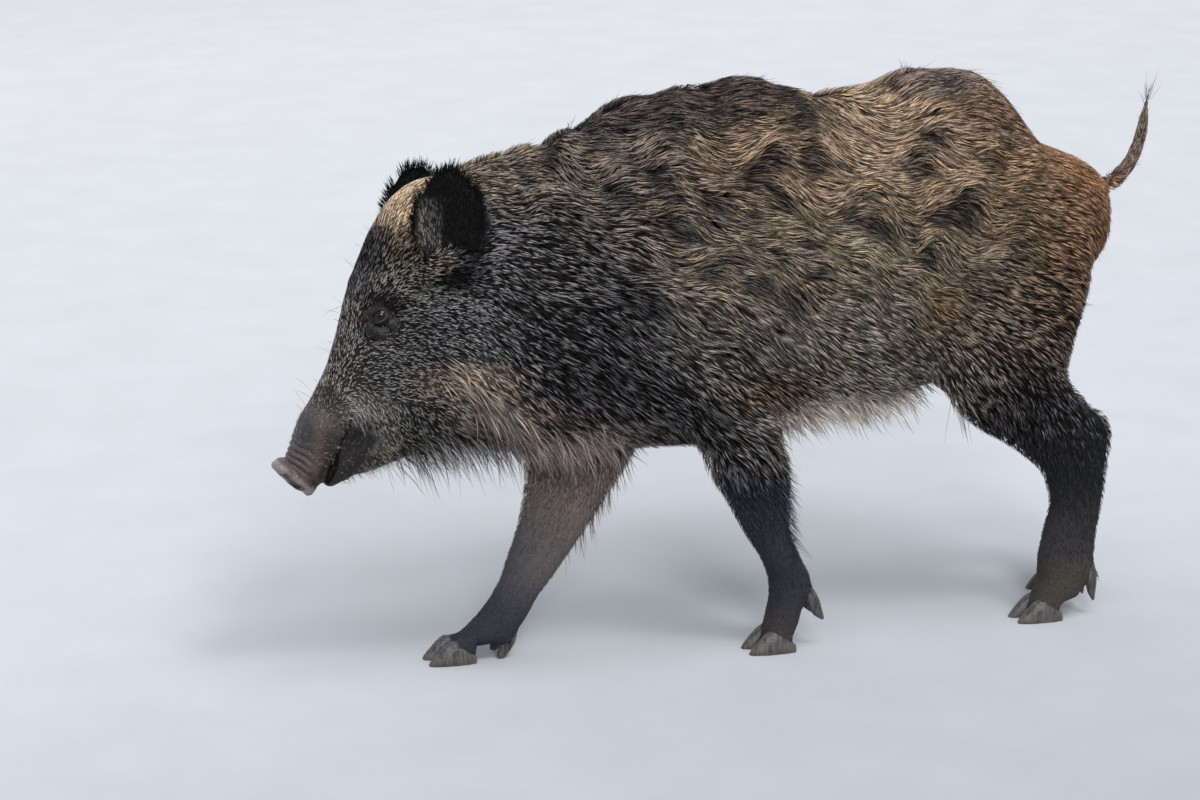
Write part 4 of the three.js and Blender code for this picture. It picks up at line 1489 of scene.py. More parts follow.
class TuftMaker:
    """Grows blades from roots on the skin."""

    def __init__(self, skin: Skin, plan: CoatPlan) -> None:
        """Takes the skin to grow on and the plan to follow."""
        self.skin = skin
        self.plan = plan

    def lying(self, roots: Roots, style: TuftStyle, seed: int) -> Tufts:
        """Blades that lie along the skin.

        Args:
            roots: Where the guides grow.
            style: How the blades are made.
            seed: Seed of the random numbers.

        Returns:
            `style.per_guide` blades for each root.
        """
        rng = np.random.default_rng(seed)
        steps = style.segments
        count = len(roots)
        length = self.plan.length(roots.points) * style.length * rng.uniform(0.8, 1.25, count)
        paths = np.empty((count, steps + 1, 3))
        normals = np.empty((count, steps + 1, 3))
        ways = np.empty((count, steps + 1, 3))
        paths[:, 0], normals[:, 0] = roots.points, roots.normals
        stray = rng.normal(0.0, style.stray, count)[:, None]
        for k in range(steps + 1):
            way = self.plan.lie(paths[:, k], normals[:, k])
            side = np.cross(normals[:, k], way)
            ways[:, k] = unit(way + side * stray)
            if k < steps:
                ahead = paths[:, k] + ways[:, k] * (length / steps)[:, None]
                paths[:, k + 1], normals[:, k + 1] = self.skin.project(ahead)
        depth = self.plan.depth(roots.points, roots.normals)
        relief = self.plan.relief(paths[:, -1]) * mix(0.12, 0.34, self.plan.wavy(roots.points))
        return self._blades(roots, style, rng, paths, normals, ways, depth * (0.9 + relief), length)

    def loose(self, roots: Roots, style: TuftStyle, seed: int, lean: Array | None = None) -> Tufts:
        """Blades that stand off the skin and bend down under their weight.

        Args:
            roots: Where the guides grow.
            style: How the blades are made: `stand` off the skin, and `hang` down.
            seed: Seed of the random numbers.
            lean: (n, 3) directions to use instead of the lie of the coat.

        Returns:
            `style.per_guide` blades for each root.
        """
        rng = np.random.default_rng(seed)
        steps = style.segments
        count = len(roots)
        length = style.length * rng.uniform(0.55, 1.2, count)
        way = self.plan.lie(roots.points, roots.normals) if lean is None else lean
        way = way * (1.0 - style.stand) + roots.normals * style.stand
        way = unit(unit(way) + rng.normal(0.0, style.stray, (count, 3)))
        along = np.linspace(0.0, 1.0, steps + 1)[None, :, None]
        fall = np.array([0.0, 0.0, -1.0]) * style.hang
        curl = unit(np.cross(way, roots.normals)) * rng.normal(0.0, 0.16, (count, 1))
        bent = way[:, None] * along + (fall + curl)[:, None] * along ** 2
        paths = roots.points[:, None] + bent * length[:, None, None]
        ways = unit(np.gradient(paths, axis=1))
        normals = np.repeat(roots.normals[:, None], steps + 1, axis=1)
        return self._blades(roots, style, rng, paths, normals, ways, np.zeros(count), length)

    def _blades(self, roots: Roots, style: TuftStyle, rng: np.random.Generator, paths: Array,
                normals: Array, ways: Array, depth: Array, length: Array) -> Tufts:
        """Blades around each guide path, drawn together towards its tip.

        Args:
            roots: Where the guides grow.
            style: How the blades are made.
            rng: Source of the random numbers.
            paths: (n, k, 3) places along the guides.
            normals: (n, k, 3) unit normals there.
            ways: (n, k, 3) unit directions there.
            depth: (n,) heights of the tips over the skin.
            length: (n,) lengths of the guides.

        Returns:
            The blades of all guides.
        """
        steps = style.segments
        many = style.per_guide

        def repeat(values: Array) -> Array:
            """A row for each blade from a row for each guide."""
            return np.repeat(values, many, axis=0)

        def pick(values: Array) -> Array:
            """Values at the blades' own steps along their guides."""
            return values[rows, low] * (1 - part) + values[rows, low + 1] * part

        paths, normals, ways, depth = repeat(paths), repeat(normals), repeat(ways), repeat(depth)
        count = len(paths)
        along = np.linspace(0.0, 1.0, steps + 1)
        reach = rng.uniform(0.62, 1.0, count)
        place = along[None, :] * reach[:, None] * steps
        low = np.minimum(place.astype(int), steps - 1)
        part = (place - low)[..., None]
        rows = np.arange(count)[:, None]
        line, normal, way = pick(paths), unit(pick(normals)), unit(pick(ways))
        across = unit(np.cross(normal, way))
        angle = rng.uniform(0, 2 * math.pi, count)
        radius = style.spread * np.sqrt(rng.uniform(0, 1, count))
        draw = 1.0 - style.clump * along[None, :] ** 1.3
        side = (radius * np.cos(angle))[:, None] * draw
        ahead = (radius * np.sin(angle))[:, None] * draw
        turn = rng.uniform(0, 2 * math.pi, count)[:, None]
        wave = style.wave * np.sin(turn + along[None, :] * rng.uniform(2.5, 5.0, count)[:, None]) * along[None, :]
        top = style.lift * rng.uniform(0.55, 1.08, count)
        height = -1.2 + (depth * top + 1.2)[:, None] * (1.0 - (1.0 - along[None, :]) ** 1.8)
        line = line + across * (side + wave)[..., None] + way * ahead[..., None] + normal * height[..., None]
        line[..., 2] = np.maximum(line[..., 2], LOWEST_HAIR)
        thin = np.array(BLADE_WIDTHS[steps])
        width = style.width * rng.uniform(0.7, 1.3, count) * repeat(np.clip(length / 14.0, 0.5, 1.0))
        heading = unit(np.gradient(line, axis=1))
        normal = unit(normal - heading * dot(normal, heading)[..., None])
        across = unit(np.cross(normal, heading))
        base = self.plan.colour(0.5 * (line[:, 0] + line[:, -1]))
        level = base.mean(axis=1)
        pale = rng.random(count) < style.pale_share
        bright = np.where(pale, mix(1.2, style.pale, rise(level, 0.008, 0.024)),
                          np.maximum(mix(style.dark, 0.8, rise(level, 0.38, 0.7)),
                                     0.9 * self.plan.smooth(line[:, 0])))
        bright = bright * np.exp(rng.normal(0.0, 0.22, count))
        bright = bright * repeat(np.exp(rng.normal(0.0, style.uneven, len(roots))))
        warm = rng.normal(0.0, 0.05, count)[:, None] * np.array([1.0, 0.1, -1.0])
        width = width * np.where(pale, 1.15, 0.9)
        tones = np.maximum(base * bright[:, None] * (1.0 + warm), 0.0015)
        limit = np.maximum(0.36, 1.25 * level)[:, None]
        tones = tones / np.sqrt(1.0 + (tones.mean(axis=1)[:, None] / limit) ** 2)
        # Painted shade: each ring of a blade darkens where it lies over a hollow between the locks.
        hollow_shade = self.plan.hollow_shade(line.reshape(-1, 3)).reshape(count, steps + 1, 1)
        shade_tone = linear(*HOLLOW_SHADE_TONE) * np.clip(bright, 0.4, 1.6)[:, None]
        tones = mix(tones[:, None], np.minimum(shade_tone, tones)[:, None], hollow_shade * 0.82)
        root = np.clip(style.root / np.maximum(bright, 0.2), 0.03, 1.0)
        return Tufts(line, across, normal, width[:, None] * thin[None, :], tones, root, repeat(roots.uv),
                     rng.random(count))


# ------------------------------------------------------------------ materials


class Slot(Enum):
    """Names of material slots, passed along with the parts of the coat but not given to any piece."""

    COAT = "coat"
    DARK_COAT = "dark_coat"
    BARE_SKIN = "bare_skin"
    HORN = "horn"
    EYE = "eye"


@dataclass
class Nodes:
    """Builds one node-based material."""

    material: bpy.types.Material

    @classmethod
    def start(cls, name: str) -> "Nodes":
        """A material with a Principled BSDF and nothing else.

        Args:
            name: Its name.

        Returns:
            The builder.
        """
        material = bpy.data.materials.new(name)
        material.use_nodes = True
        material.node_tree.nodes.clear()
        made = cls(material)
        shader = made.add("ShaderNodeBsdfPrincipled", "shader")
        output = made.add("ShaderNodeOutputMaterial", "output")
        made.link(shader.outputs[0], output.inputs[0])
        return made

    def add(self, kind: str, name: str = "", **settings: object) -> bpy.types.Node:
        """Adds a node and sets its properties.

        Args:
            kind: The node's type.
            name: Its name.
            settings: Its properties.

        Returns:
            The node.
        """
        node = self.material.node_tree.nodes.new(kind)
        if name:
            node.name = name
        for key, value in settings.items():
            setattr(node, key, value)
        return node

    def link(self, out: Socket, into: Socket) -> None:
        """Joins two sockets."""
        self.material.node_tree.links.new(out, into)

    @property
    def shader(self) -> bpy.types.Node:
        """The Principled BSDF."""
        return self.material.node_tree.nodes["shader"]

    def value(self, node: bpy.types.Node, socket: str | int, value: object) -> None:
        """Gives a socket a number or a colour, or links another node's socket to it.

        Args:
            node: The node.
            socket: Name or number of its input.
            value: A value or a socket.
        """
        if isinstance(value, Socket):
            self.link(value, node.inputs[socket])
        else:
            node.inputs[socket].default_value = value

    def finish(self, values: dict[str, float]) -> None:
        """Sets inputs of the Principled BSDF."""
        for socket, value in values.items():
            self.shader.inputs[socket].default_value = value

    def math(self, kind: str, a: object, b: object = 0.0) -> Socket:
        """A Math node's result.

        Args:
            kind: The operation.
            a: A number or a socket.
            b: Another one.

        Returns:
            The output socket.
        """
        node = self.add("ShaderNodeMath", operation=kind)
        self.value(node, 0, a)
        self.value(node, 1, b)
        return node.outputs[0]

    def blend(self, share: object, a: object, b: object, kind: str = "MIX") -> Socket:
        """A colour Mix node's result.

        Args:
            share: A number or a socket.
            a: Colour at share 0.
            b: Colour at share 1.
            kind: How they are blended.

        Returns:
            The output socket.
        """
        node = self.add("ShaderNodeMix", data_type="RGBA", blend_type=kind)
        self.value(node, 0, share)
        self.value(node, 6, a)
        self.value(node, 7, b)
        return node.outputs[2]

    def times(self, colour: object, factor: object) -> Socket:
        """A colour multiplied by a number or by another colour."""
        return self.blend(1.0, colour, factor, "MULTIPLY")

    def attribute(self, name: str, kind: str = "Color") -> Socket:
        """An attribute stored on the mesh, as a Color or a Vector."""
        return self.add("ShaderNodeAttribute", attribute_name=name).outputs[kind]

    def place(self) -> Socket:
        """The object's own coordinates."""
        return self.add("ShaderNodeTexCoord").outputs["Object"]

    def parts(self, vector: Socket) -> bpy.types.bpy_prop_collection:
        """The three numbers of a vector.

        Args:
            vector: The vector.

        Returns:
            The sockets of x, y and z.
        """
        node = self.add("ShaderNodeSeparateXYZ")
        self.link(vector, node.inputs[0])
        return node.outputs

    def grain(self, scale: float, detail: float = 2.0, stretch: tuple = (1, 1, 1),
              where: Socket | None = None) -> Socket:
        """Noise in the object's own coordinates, or in others.

        Args:
            scale: How fine it is.
            detail: How many octaves.
            stretch: Scale along x, y and z.
            where: Coordinates to use instead.

        Returns:
            The output socket.
        """
        mapping = self.add("ShaderNodeMapping")
        mapping.inputs["Scale"].default_value = stretch
        self.link(where or self.place(), mapping.inputs["Vector"])
        node = self.add("ShaderNodeTexNoise")
        node.inputs["Scale"].default_value = scale
        node.inputs["Detail"].default_value = detail
        self.link(mapping.outputs[0], node.inputs["Vector"])
        return node.outputs[0]

    def ramp(self, factor: Socket, low: float, high: float, a: float, b: float) -> Socket:
        """A number from a to b while the factor goes from low to high.

        Args:
            factor: The factor.
            low: Its low end.
            high: Its high end.
            a: Number at the low end.
            b: Number at the high end.

        Returns:
            The output socket.
        """
        node = self.add("ShaderNodeMapRange")
        self.link(factor, node.inputs[0])
        for socket, number in zip((1, 2, 3, 4), (low, high, a, b)):
            node.inputs[socket].default_value = number
        return node.outputs[0]

    def bump(self, height: Socket, strength: float, distance: float) -> None:
        """Adds a bump before whatever normal the shader already has.

        Args:
            height: The heights.
            strength: Its strength, 0 to 1.
            distance: Metres for a height of 1.
        """
        node = self.add("ShaderNodeBump")
        node.inputs["Strength"].default_value = strength
        node.inputs["Distance"].default_value = distance
        self.link(height, node.inputs["Height"])
        socket = self.shader.inputs["Normal"]
        if socket.is_linked:
            self.link(socket.links[0].from_socket, node.inputs["Normal"])
        self.link(node.outputs[0], socket)


@dataclass(frozen=True)
class CoatFinish:
    """Hair: dark at its root and pale to its tip, split into fine strands along it."""

    strands: tuple[float, float, float] = (0.0, 0.9, 61.0)
    roughness: float = 0.7
    gloss: float = 0.1

    def make(self) -> bpy.types.Material:
        """Builds the material.

        Returns:
            The material.
        """
        nodes = Nodes.start("coat_hair")
        tone, strand = nodes.attribute("Tone"), nodes.attribute("Strand", "Vector")
        root, along, _chance = nodes.parts(strand)
        streak = nodes.ramp(nodes.grain(2.2, 2.0, self.strands, strand), 0.3, 0.72, 0.75, 1.25)
        outer = nodes.ramp(along, 0.22, 0.62, 0.0, 1.0)
        share = nodes.math("ADD", nodes.math("MULTIPLY", outer, nodes.math("SUBTRACT", 1.0, root)), root)
        nodes.value(nodes.shader, "Base Color", nodes.times(tone, nodes.math("MULTIPLY", streak, share)))
        nodes.finish({"Roughness": self.roughness, "Specular IOR Level": self.gloss})
        return nodes.material


@dataclass(frozen=True)
class SkinFinish:
    """Skin under the coat, painted dark with the shade between the hairs, and bare skin at the snout."""

    # How dark the skin under the coat is painted, as the shade between the hairs; less where the coat is short and
    # dense.
    under: tuple[float, float] = (0.06, 0.34)
    dense: tuple[float, float] = (0.34, 0.66)
    roughness: tuple[float, float] = (0.85, 0.46)
    gloss: float = 0.28

    def make(self) -> bpy.types.Material:
        """Builds the material.

        Returns:
            The material.
        """
        nodes = Nodes.start("skin_under_coat")
        tone = nodes.attribute("Tone")
        bare, smooth, wet = nodes.parts(nodes.attribute("Cover", "Vector"))
        short_hair = nodes.grain(900.0, 3.0)
        # Painted shade between the hairs on the skin under the coat.
        under = nodes.times(tone, nodes.ramp(short_hair, 0.35, 0.7, *self.under))
        dense = nodes.times(tone, nodes.ramp(short_hair, 0.35, 0.7, *self.dense))
        under = nodes.blend(smooth, under, dense)
        pores = nodes.grain(420.0, 4.0)
        folds = nodes.grain(60.0, 3.0)
        skin = nodes.times(tone, nodes.ramp(pores, 0.3, 0.7, 0.62, 1.38))
        skin = nodes.times(skin, nodes.ramp(folds, 0.35, 0.7, 0.8, 1.15))
        nodes.value(nodes.shader, "Base Color", nodes.blend(bare, under, skin))
        nodes.value(nodes.shader, "Roughness", nodes.math(
            "SUBTRACT", nodes.ramp(bare, 0.0, 1.0, *self.roughness), nodes.math("MULTIPLY", wet, 0.2)))
        nodes.finish({"Specular IOR Level": self.gloss})
        nodes.bump(pores, 0.35, 0.0012)
        nodes.bump(short_hair, 0.3, 0.0008)
        return nodes.material


@dataclass(frozen=True)
class HornFinish:
    """Dark grey-brown horn with fine streaks down it, paler and browner to its lower edge."""

    horn: tuple = ((0.022, 0.021, 0.022, 1), (0.088, 0.082, 0.078, 1))
    worn: tuple = ((0.085, 0.052, 0.034, 1), (0.13, 0.115, 0.10, 1))
    gloss: float = 0.5

    def make(self) -> bpy.types.Material:
        """Builds the material.

        Returns:
            The material.
        """
        nodes = Nodes.start("hoof_horn")
        height = nodes.parts(nodes.place())[2]
        streaks = nodes.grain(260.0, 4.0, (1.0, 1.0, 0.12))
        blotches = nodes.grain(45.0, 3.0)
        horn = nodes.blend(nodes.ramp(streaks, 0.35, 0.68, 0.0, 1.0), *self.horn)
        worn = nodes.blend(nodes.ramp(blotches, 0.4, 0.62, 0.0, 1.0), *self.worn)
        low = nodes.ramp(height, 0.016, 0.001, 0.0, 0.6)
        share = nodes.math("MULTIPLY", low, nodes.ramp(blotches, 0.35, 0.6, 0.3, 1.0))
        nodes.value(nodes.shader, "Base Color", nodes.blend(share, horn, worn))
        nodes.value(nodes.shader, "Roughness", nodes.ramp(streaks, 0.3, 0.7, 0.42, 0.62))
        nodes.finish({"Specular IOR Level": self.gloss})
        nodes.bump(streaks, 0.4, 0.0006)
        return nodes.material


@dataclass(frozen=True)
class LidFinish:
    """The thin moist skin of the eyelids, in the colours stored on it."""

    roughness: float = 0.5
    gloss: float = 0.15

    def make(self) -> bpy.types.Material:
        """Builds the material.

        Returns:
            The material.
        """
        nodes = Nodes.start("eyelid_skin")
        pores = nodes.grain(700.0, 3.0)
        colour = nodes.times(nodes.attribute("Tone"), nodes.ramp(pores, 0.3, 0.7, 0.75, 1.2))
        nodes.value(nodes.shader, "Base Color", colour)
        nodes.finish({"Roughness": self.roughness, "Specular IOR Level": self.gloss})
        nodes.bump(pores, 0.25, 0.0005)
        return nodes.material


@dataclass(frozen=True)
class EyeFinish:
    """A wet dark eye: the iris and pupil stored on it, under a clear gloss."""

    roughness: float = 0.12
    coat: float = 0.8
    coat_roughness: float = 0.05
    coat_ior: float = 1.45

    def make(self) -> bpy.types.Material:
        """Builds the material.

        Returns:
            The material.
        """
        nodes = Nodes.start("wet_eye")
        fibres = nodes.ramp(nodes.grain(900.0, 3.0), 0.3, 0.7, 0.7, 1.3)
        nodes.value(nodes.shader, "Base Color", nodes.times(nodes.attribute("Tone"), fibres))
        nodes.finish({"Roughness": self.roughness, "Specular IOR Level": 0.0, "Coat Weight": self.coat,
                      "Coat Roughness": self.coat_roughness, "Coat IOR": self.coat_ior})
        return nodes.material


@dataclass(frozen=True)
class BristleFinish:
    """Stiff hairs of the snout, pale and dark mixed."""

    tones: tuple = ((0.035, 0.03, 0.03, 1), (0.42, 0.39, 0.36, 1))
    roughness: float = 0.55

    def make(self) -> bpy.types.Material:
        """Builds the material.

        Returns:
            The material.
        """
        nodes = Nodes.start("bristle")
        mixed = nodes.ramp(nodes.grain(160.0, 2.0), 0.42, 0.55, 0.0, 1.0)
        nodes.value(nodes.shader, "Base Color", nodes.blend(mixed, *self.tones))
        nodes.finish({"Roughness": self.roughness})
        return nodes.material


# ------------------------------------------------------------------ horn


@dataclass
class Claws:
    """The hooves and the dewclaws, each finer than its solid and with the rings of its growth."""

    voxel: float = 0.0017
    dewclaw_drop: float = 13.0

    def build(self) -> None:
        """Makes one piece for each hoof and dewclaw."""
        material = HornFinish().make()
        for name in HORN:
            mesh = self._smooth(name)
            obj = new_object(f"horn_{name}", mesh)
            mesh.materials.append(material)
            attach(obj, "root")
            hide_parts(name)
        LOG.info("horn: %d hooves and dewclaws", len(HORN))

    def _smooth(self, name: str) -> Mesh:
        """The solid as an even, softened mesh that still stands flat.

        Args:
            name: Name of the node.

        Returns:
            The new mesh.
        """
        mesh = even_mesh(solid_copy(name), self.voxel, f"horn_{name}")
        edges = read_values(mesh.edges, "vertices", 2)
        start = mesh_points(mesh)
        floor = start[:, 2] < 1.2
        points = lay_out(start, edges, 5, 0.5)
        if name.startswith("dewclaw"):
            down = (start[:, 2].max() - start[:, 2]) / (start[:, 2].max() - start[:, 2].min())
            points[:, 2] -= np.minimum(down * self.dewclaw_drop, np.maximum(points[:, 2] - 3.0, 0.0))
        set_points(mesh, points)
        normals = mesh_normals(mesh)
        rings = np.sin(points[:, 2] * 1.55 + 1.5 * noise(points, 14.0, 8)) + 0.6 * noise(points, 3.0, 9)
        covered = 1.0 - PLAN.horn(points) if name.startswith("hoof") else 0.35 * PLAN.fetlock(points) - 0.35
        points = points + normals * (0.22 * rings - 0.1 - 3.0 * covered)[:, None]
        points[floor] = start[floor]
        points[:, 2] = np.maximum(points[:, 2], 0.0 if name.startswith("hoof") else 2.0)
        set_points(mesh, points)
        mesh.polygons.foreach_set("use_smooth", np.ones(len(mesh.polygons), bool))
        return mesh


# ------------------------------------------------------------------ eyes


@dataclass
class Eye:
    """One eyeball and the lids round it."""

    side: int
    skin: Skin
    half_long: float = 8.3
    half_upper: float = 5.6
    half_lower: float = 5.7

    def build(self) -> None:
        """Makes the eyeball and the lids."""
        self.frame = EyeFrame.of(self.side)
        self.name = "left" if self.side < 0 else "right"
        ball = new_object(f"eyeball_{self.name}", self._ball())
        ball.data.materials.append(EyeFinish().make())
        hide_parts(f"eye_{self.name}")
        lids = new_object(f"eyelids_{self.name}", self._lids())
        lids.data.materials.append(LidFinish().make())
        for obj in (ball, lids):
            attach(obj, "root")
        LOG.info("eye_%s: eyeball and lids", self.name)

    def _place(self, rear: Array, up: Array, out: Array) -> Array:
        """Points of the eye's own frame in the figure."""
        parts = np.stack([rear, up, out], axis=-1)
        return self.frame.centre + parts @ np.stack([self.frame.rear, self.frame.up, self.frame.out])

    def _ball(self) -> Mesh:
        """A ball with a bulging cornea, an iris and a lying oval pupil.

        Returns:
            The new mesh.
        """
        turns, steps = 40, 26
        angle = np.linspace(0, 2 * math.pi, turns, endpoint=False)[None, :]
        fall = np.linspace(0.0, math.pi, steps + 2)[1:-1, None]
        reach = 11.9 + 0.9 * np.exp(-(fall / 0.8) ** 2)
        rear, up = reach * np.sin(fall) * np.cos(angle), reach * np.sin(fall) * np.sin(angle)
        rings = self._place(rear, up, reach * np.cos(fall) + 0 * angle).reshape(-1, 3)
        front = self._place(np.zeros(1), np.zeros(1), np.array([12.8]))
        rest = self._place(np.zeros(1), np.zeros(1), np.array([-11.9]))
        points = np.concatenate([rings, front, rest])
        mesh = mesh_from_arrays(f"eyeball_{self.name}", points, self._net(steps, turns, len(points) - 2))
        gap = np.hypot(fall * np.cos(angle) / 0.34, fall * np.sin(angle) / 0.24)
        iris = rise(gap, 0.95, 1.1)[..., None]
        white = rise(fall + 0 * angle, 0.80, 0.90)[..., None]
        rays = 1.0 + 0.4 * np.sin(angle * 17 + 3 * np.sin(angle * 5))[..., None] * np.ones((steps, 1, 1))
        pupil, rim = linear(3, 3, 4), linear(15, 12, 12)
        tone = mix(pupil, linear(20, 13, 10) * rays, iris)
        tone = mix(tone, rim + 0 * tone, white)
        ends = np.stack([pupil, rim])
        set_colour(mesh, "Tone", np.concatenate([tone.reshape(-1, 3), ends]))
        return mesh

    @staticmethod
    def _net(steps: int, turns: int, poles: int | None) -> list[Array]:
        """Faces between rings, closed by two poles, or joined end to end when `poles` is None.

        Args:
            steps: How many rings.
            turns: Points in each ring.
            poles: Number of the first pole.

        Returns:
            Quads, and triangles at the poles.
        """
        quads = []
        for r in range(steps - 1 if poles is not None else steps):
            for k in range(turns):
                after, deeper = (k + 1) % turns, (r + 1) % steps
                quads.append([r * turns + k, deeper * turns + k, deeper * turns + after, r * turns + after])
        faces = [np.array(quads)]
        if poles is not None:
            last = (steps - 1) * turns
            tris = [[poles, k, (k + 1) % turns] for k in range(turns)]
            tris += [[poles + 1, last + (k + 1) % turns, last + k] for k in range(turns)]
            faces.append(np.array(tris))
        return faces

    def _lids(self) -> Mesh:
        """A closed roll round the eye's opening that sinks into the skin.

        Returns:
            The new mesh.
        """
        turns = 56
        angle = np.linspace(0, 2 * math.pi, turns, endpoint=False)
        upper = rise(np.sin(angle), -0.2, 0.3)
        corner = np.maximum(0.0, -np.cos(angle)) ** 5
        rear = self.half_long * np.cos(angle) * (1.0 + 0.22 * corner)
        up = np.where(np.sin(angle) > 0, self.half_upper, self.half_lower) * np.sin(angle) - 2.2 * corner
        span = np.hypot(rear, up)
        opening = np.arcsin(span / 12.6)
        # angle beyond the opening's edge, distance from the ball's middle, how much heavier the upper lid is
        rows = [(-0.1, 11.2, 0.0), (0.0, 12.9, 0.3), (0.07, 13.4, 0.7), (0.2, 13.8, 1.2), (0.45, 13.9, 1.2),
                (0.75, 13.5, 0.6)]
        rings = []
        for more, reach, heavy in rows:
            fall = np.minimum(opening + more, 1.35)
            flat = reach * np.sin(fall) / span
            rings.append(self._place(rear * flat, up * flat, reach * np.cos(fall) + heavy * upper))
        for reach, lift in ((16.5, 0.3), (20.0, -2.2), (16.5, -7.0)):
            rings.append(self._on_skin(rear * reach / span, up * reach / span, lift))
        inner = 8.5 * np.sin(opening) / span
        rings.append(self._place(rear * inner, up * inner, 8.5 * np.cos(opening)))
        points = np.concatenate(rings)
        mesh = mesh_from_arrays(f"eyelids_{self.name}", points, self._net(len(rings), turns, None))
        set_colour(mesh, "Tone", self._lid_tones(rings, angle))
        return mesh

    def _on_skin(self, rear: Array, up: Array, lift: float) -> Array:
        """Places over the skin beside the eye, `lift` above it along the eye's axis.

        Args:
            rear: (n,) distances rearwards.
            up: (n,) distances upwards.
            lift: Height over the skin.

        Returns:
            (n, 3) places.
        """
        start = self._place(rear, up, np.full(len(rear), 40.0))
        inwards = Vector((-self.frame.out).tolist())
        places = []
        for point in start.tolist():
            hit, _normal, _index, _gap = self.skin.tree.ray_cast(Vector(point), inwards, 80.0)
            places.append(np.array(hit) if hit else np.array(point) - self.frame.out * 32.0)
        return np.array(places) + self.frame.out * lift

    def _lid_tones(self, rings: list[Array], angle: Array) -> Array:
        """Pale lower rim, dark upper lid, red inner corner, and the skin's own colours further out.

        Args:
            rings: Points of each ring.
            angle: (n,) angles round the opening.

        Returns:
            (n, 3) colours.
        """
        lower = rise(-np.sin(angle), -0.1, 0.4)
        corner = rise(-np.cos(angle), 0.72, 0.93)
        tones = []
        for number, ring in enumerate(rings):
            pale, dark = linear(76, 66, 64), linear(5, 4, 4)
            wet = np.maximum(lower, rise(np.cos(angle), 0.5, 0.9)) * (1.0 if number == 1 else 0.12)
            rim = mix(np.broadcast_to(dark, (len(angle), 3)), pale, wet)
            rim = mix(rim, linear(56, 32, 33) + 0 * rim, corner * 0.8)
            share = (0.0, 0.0, 0.1, 0.35, 0.7, 0.9, 1.0, 1.0, 1.0, 0.0)[number]
            tones.append(mix(rim, PLAN.colour(ring), np.full(len(angle), share)))
        return np.concatenate(tones)


# ------------------------------------------------------------------ bristles of the snout


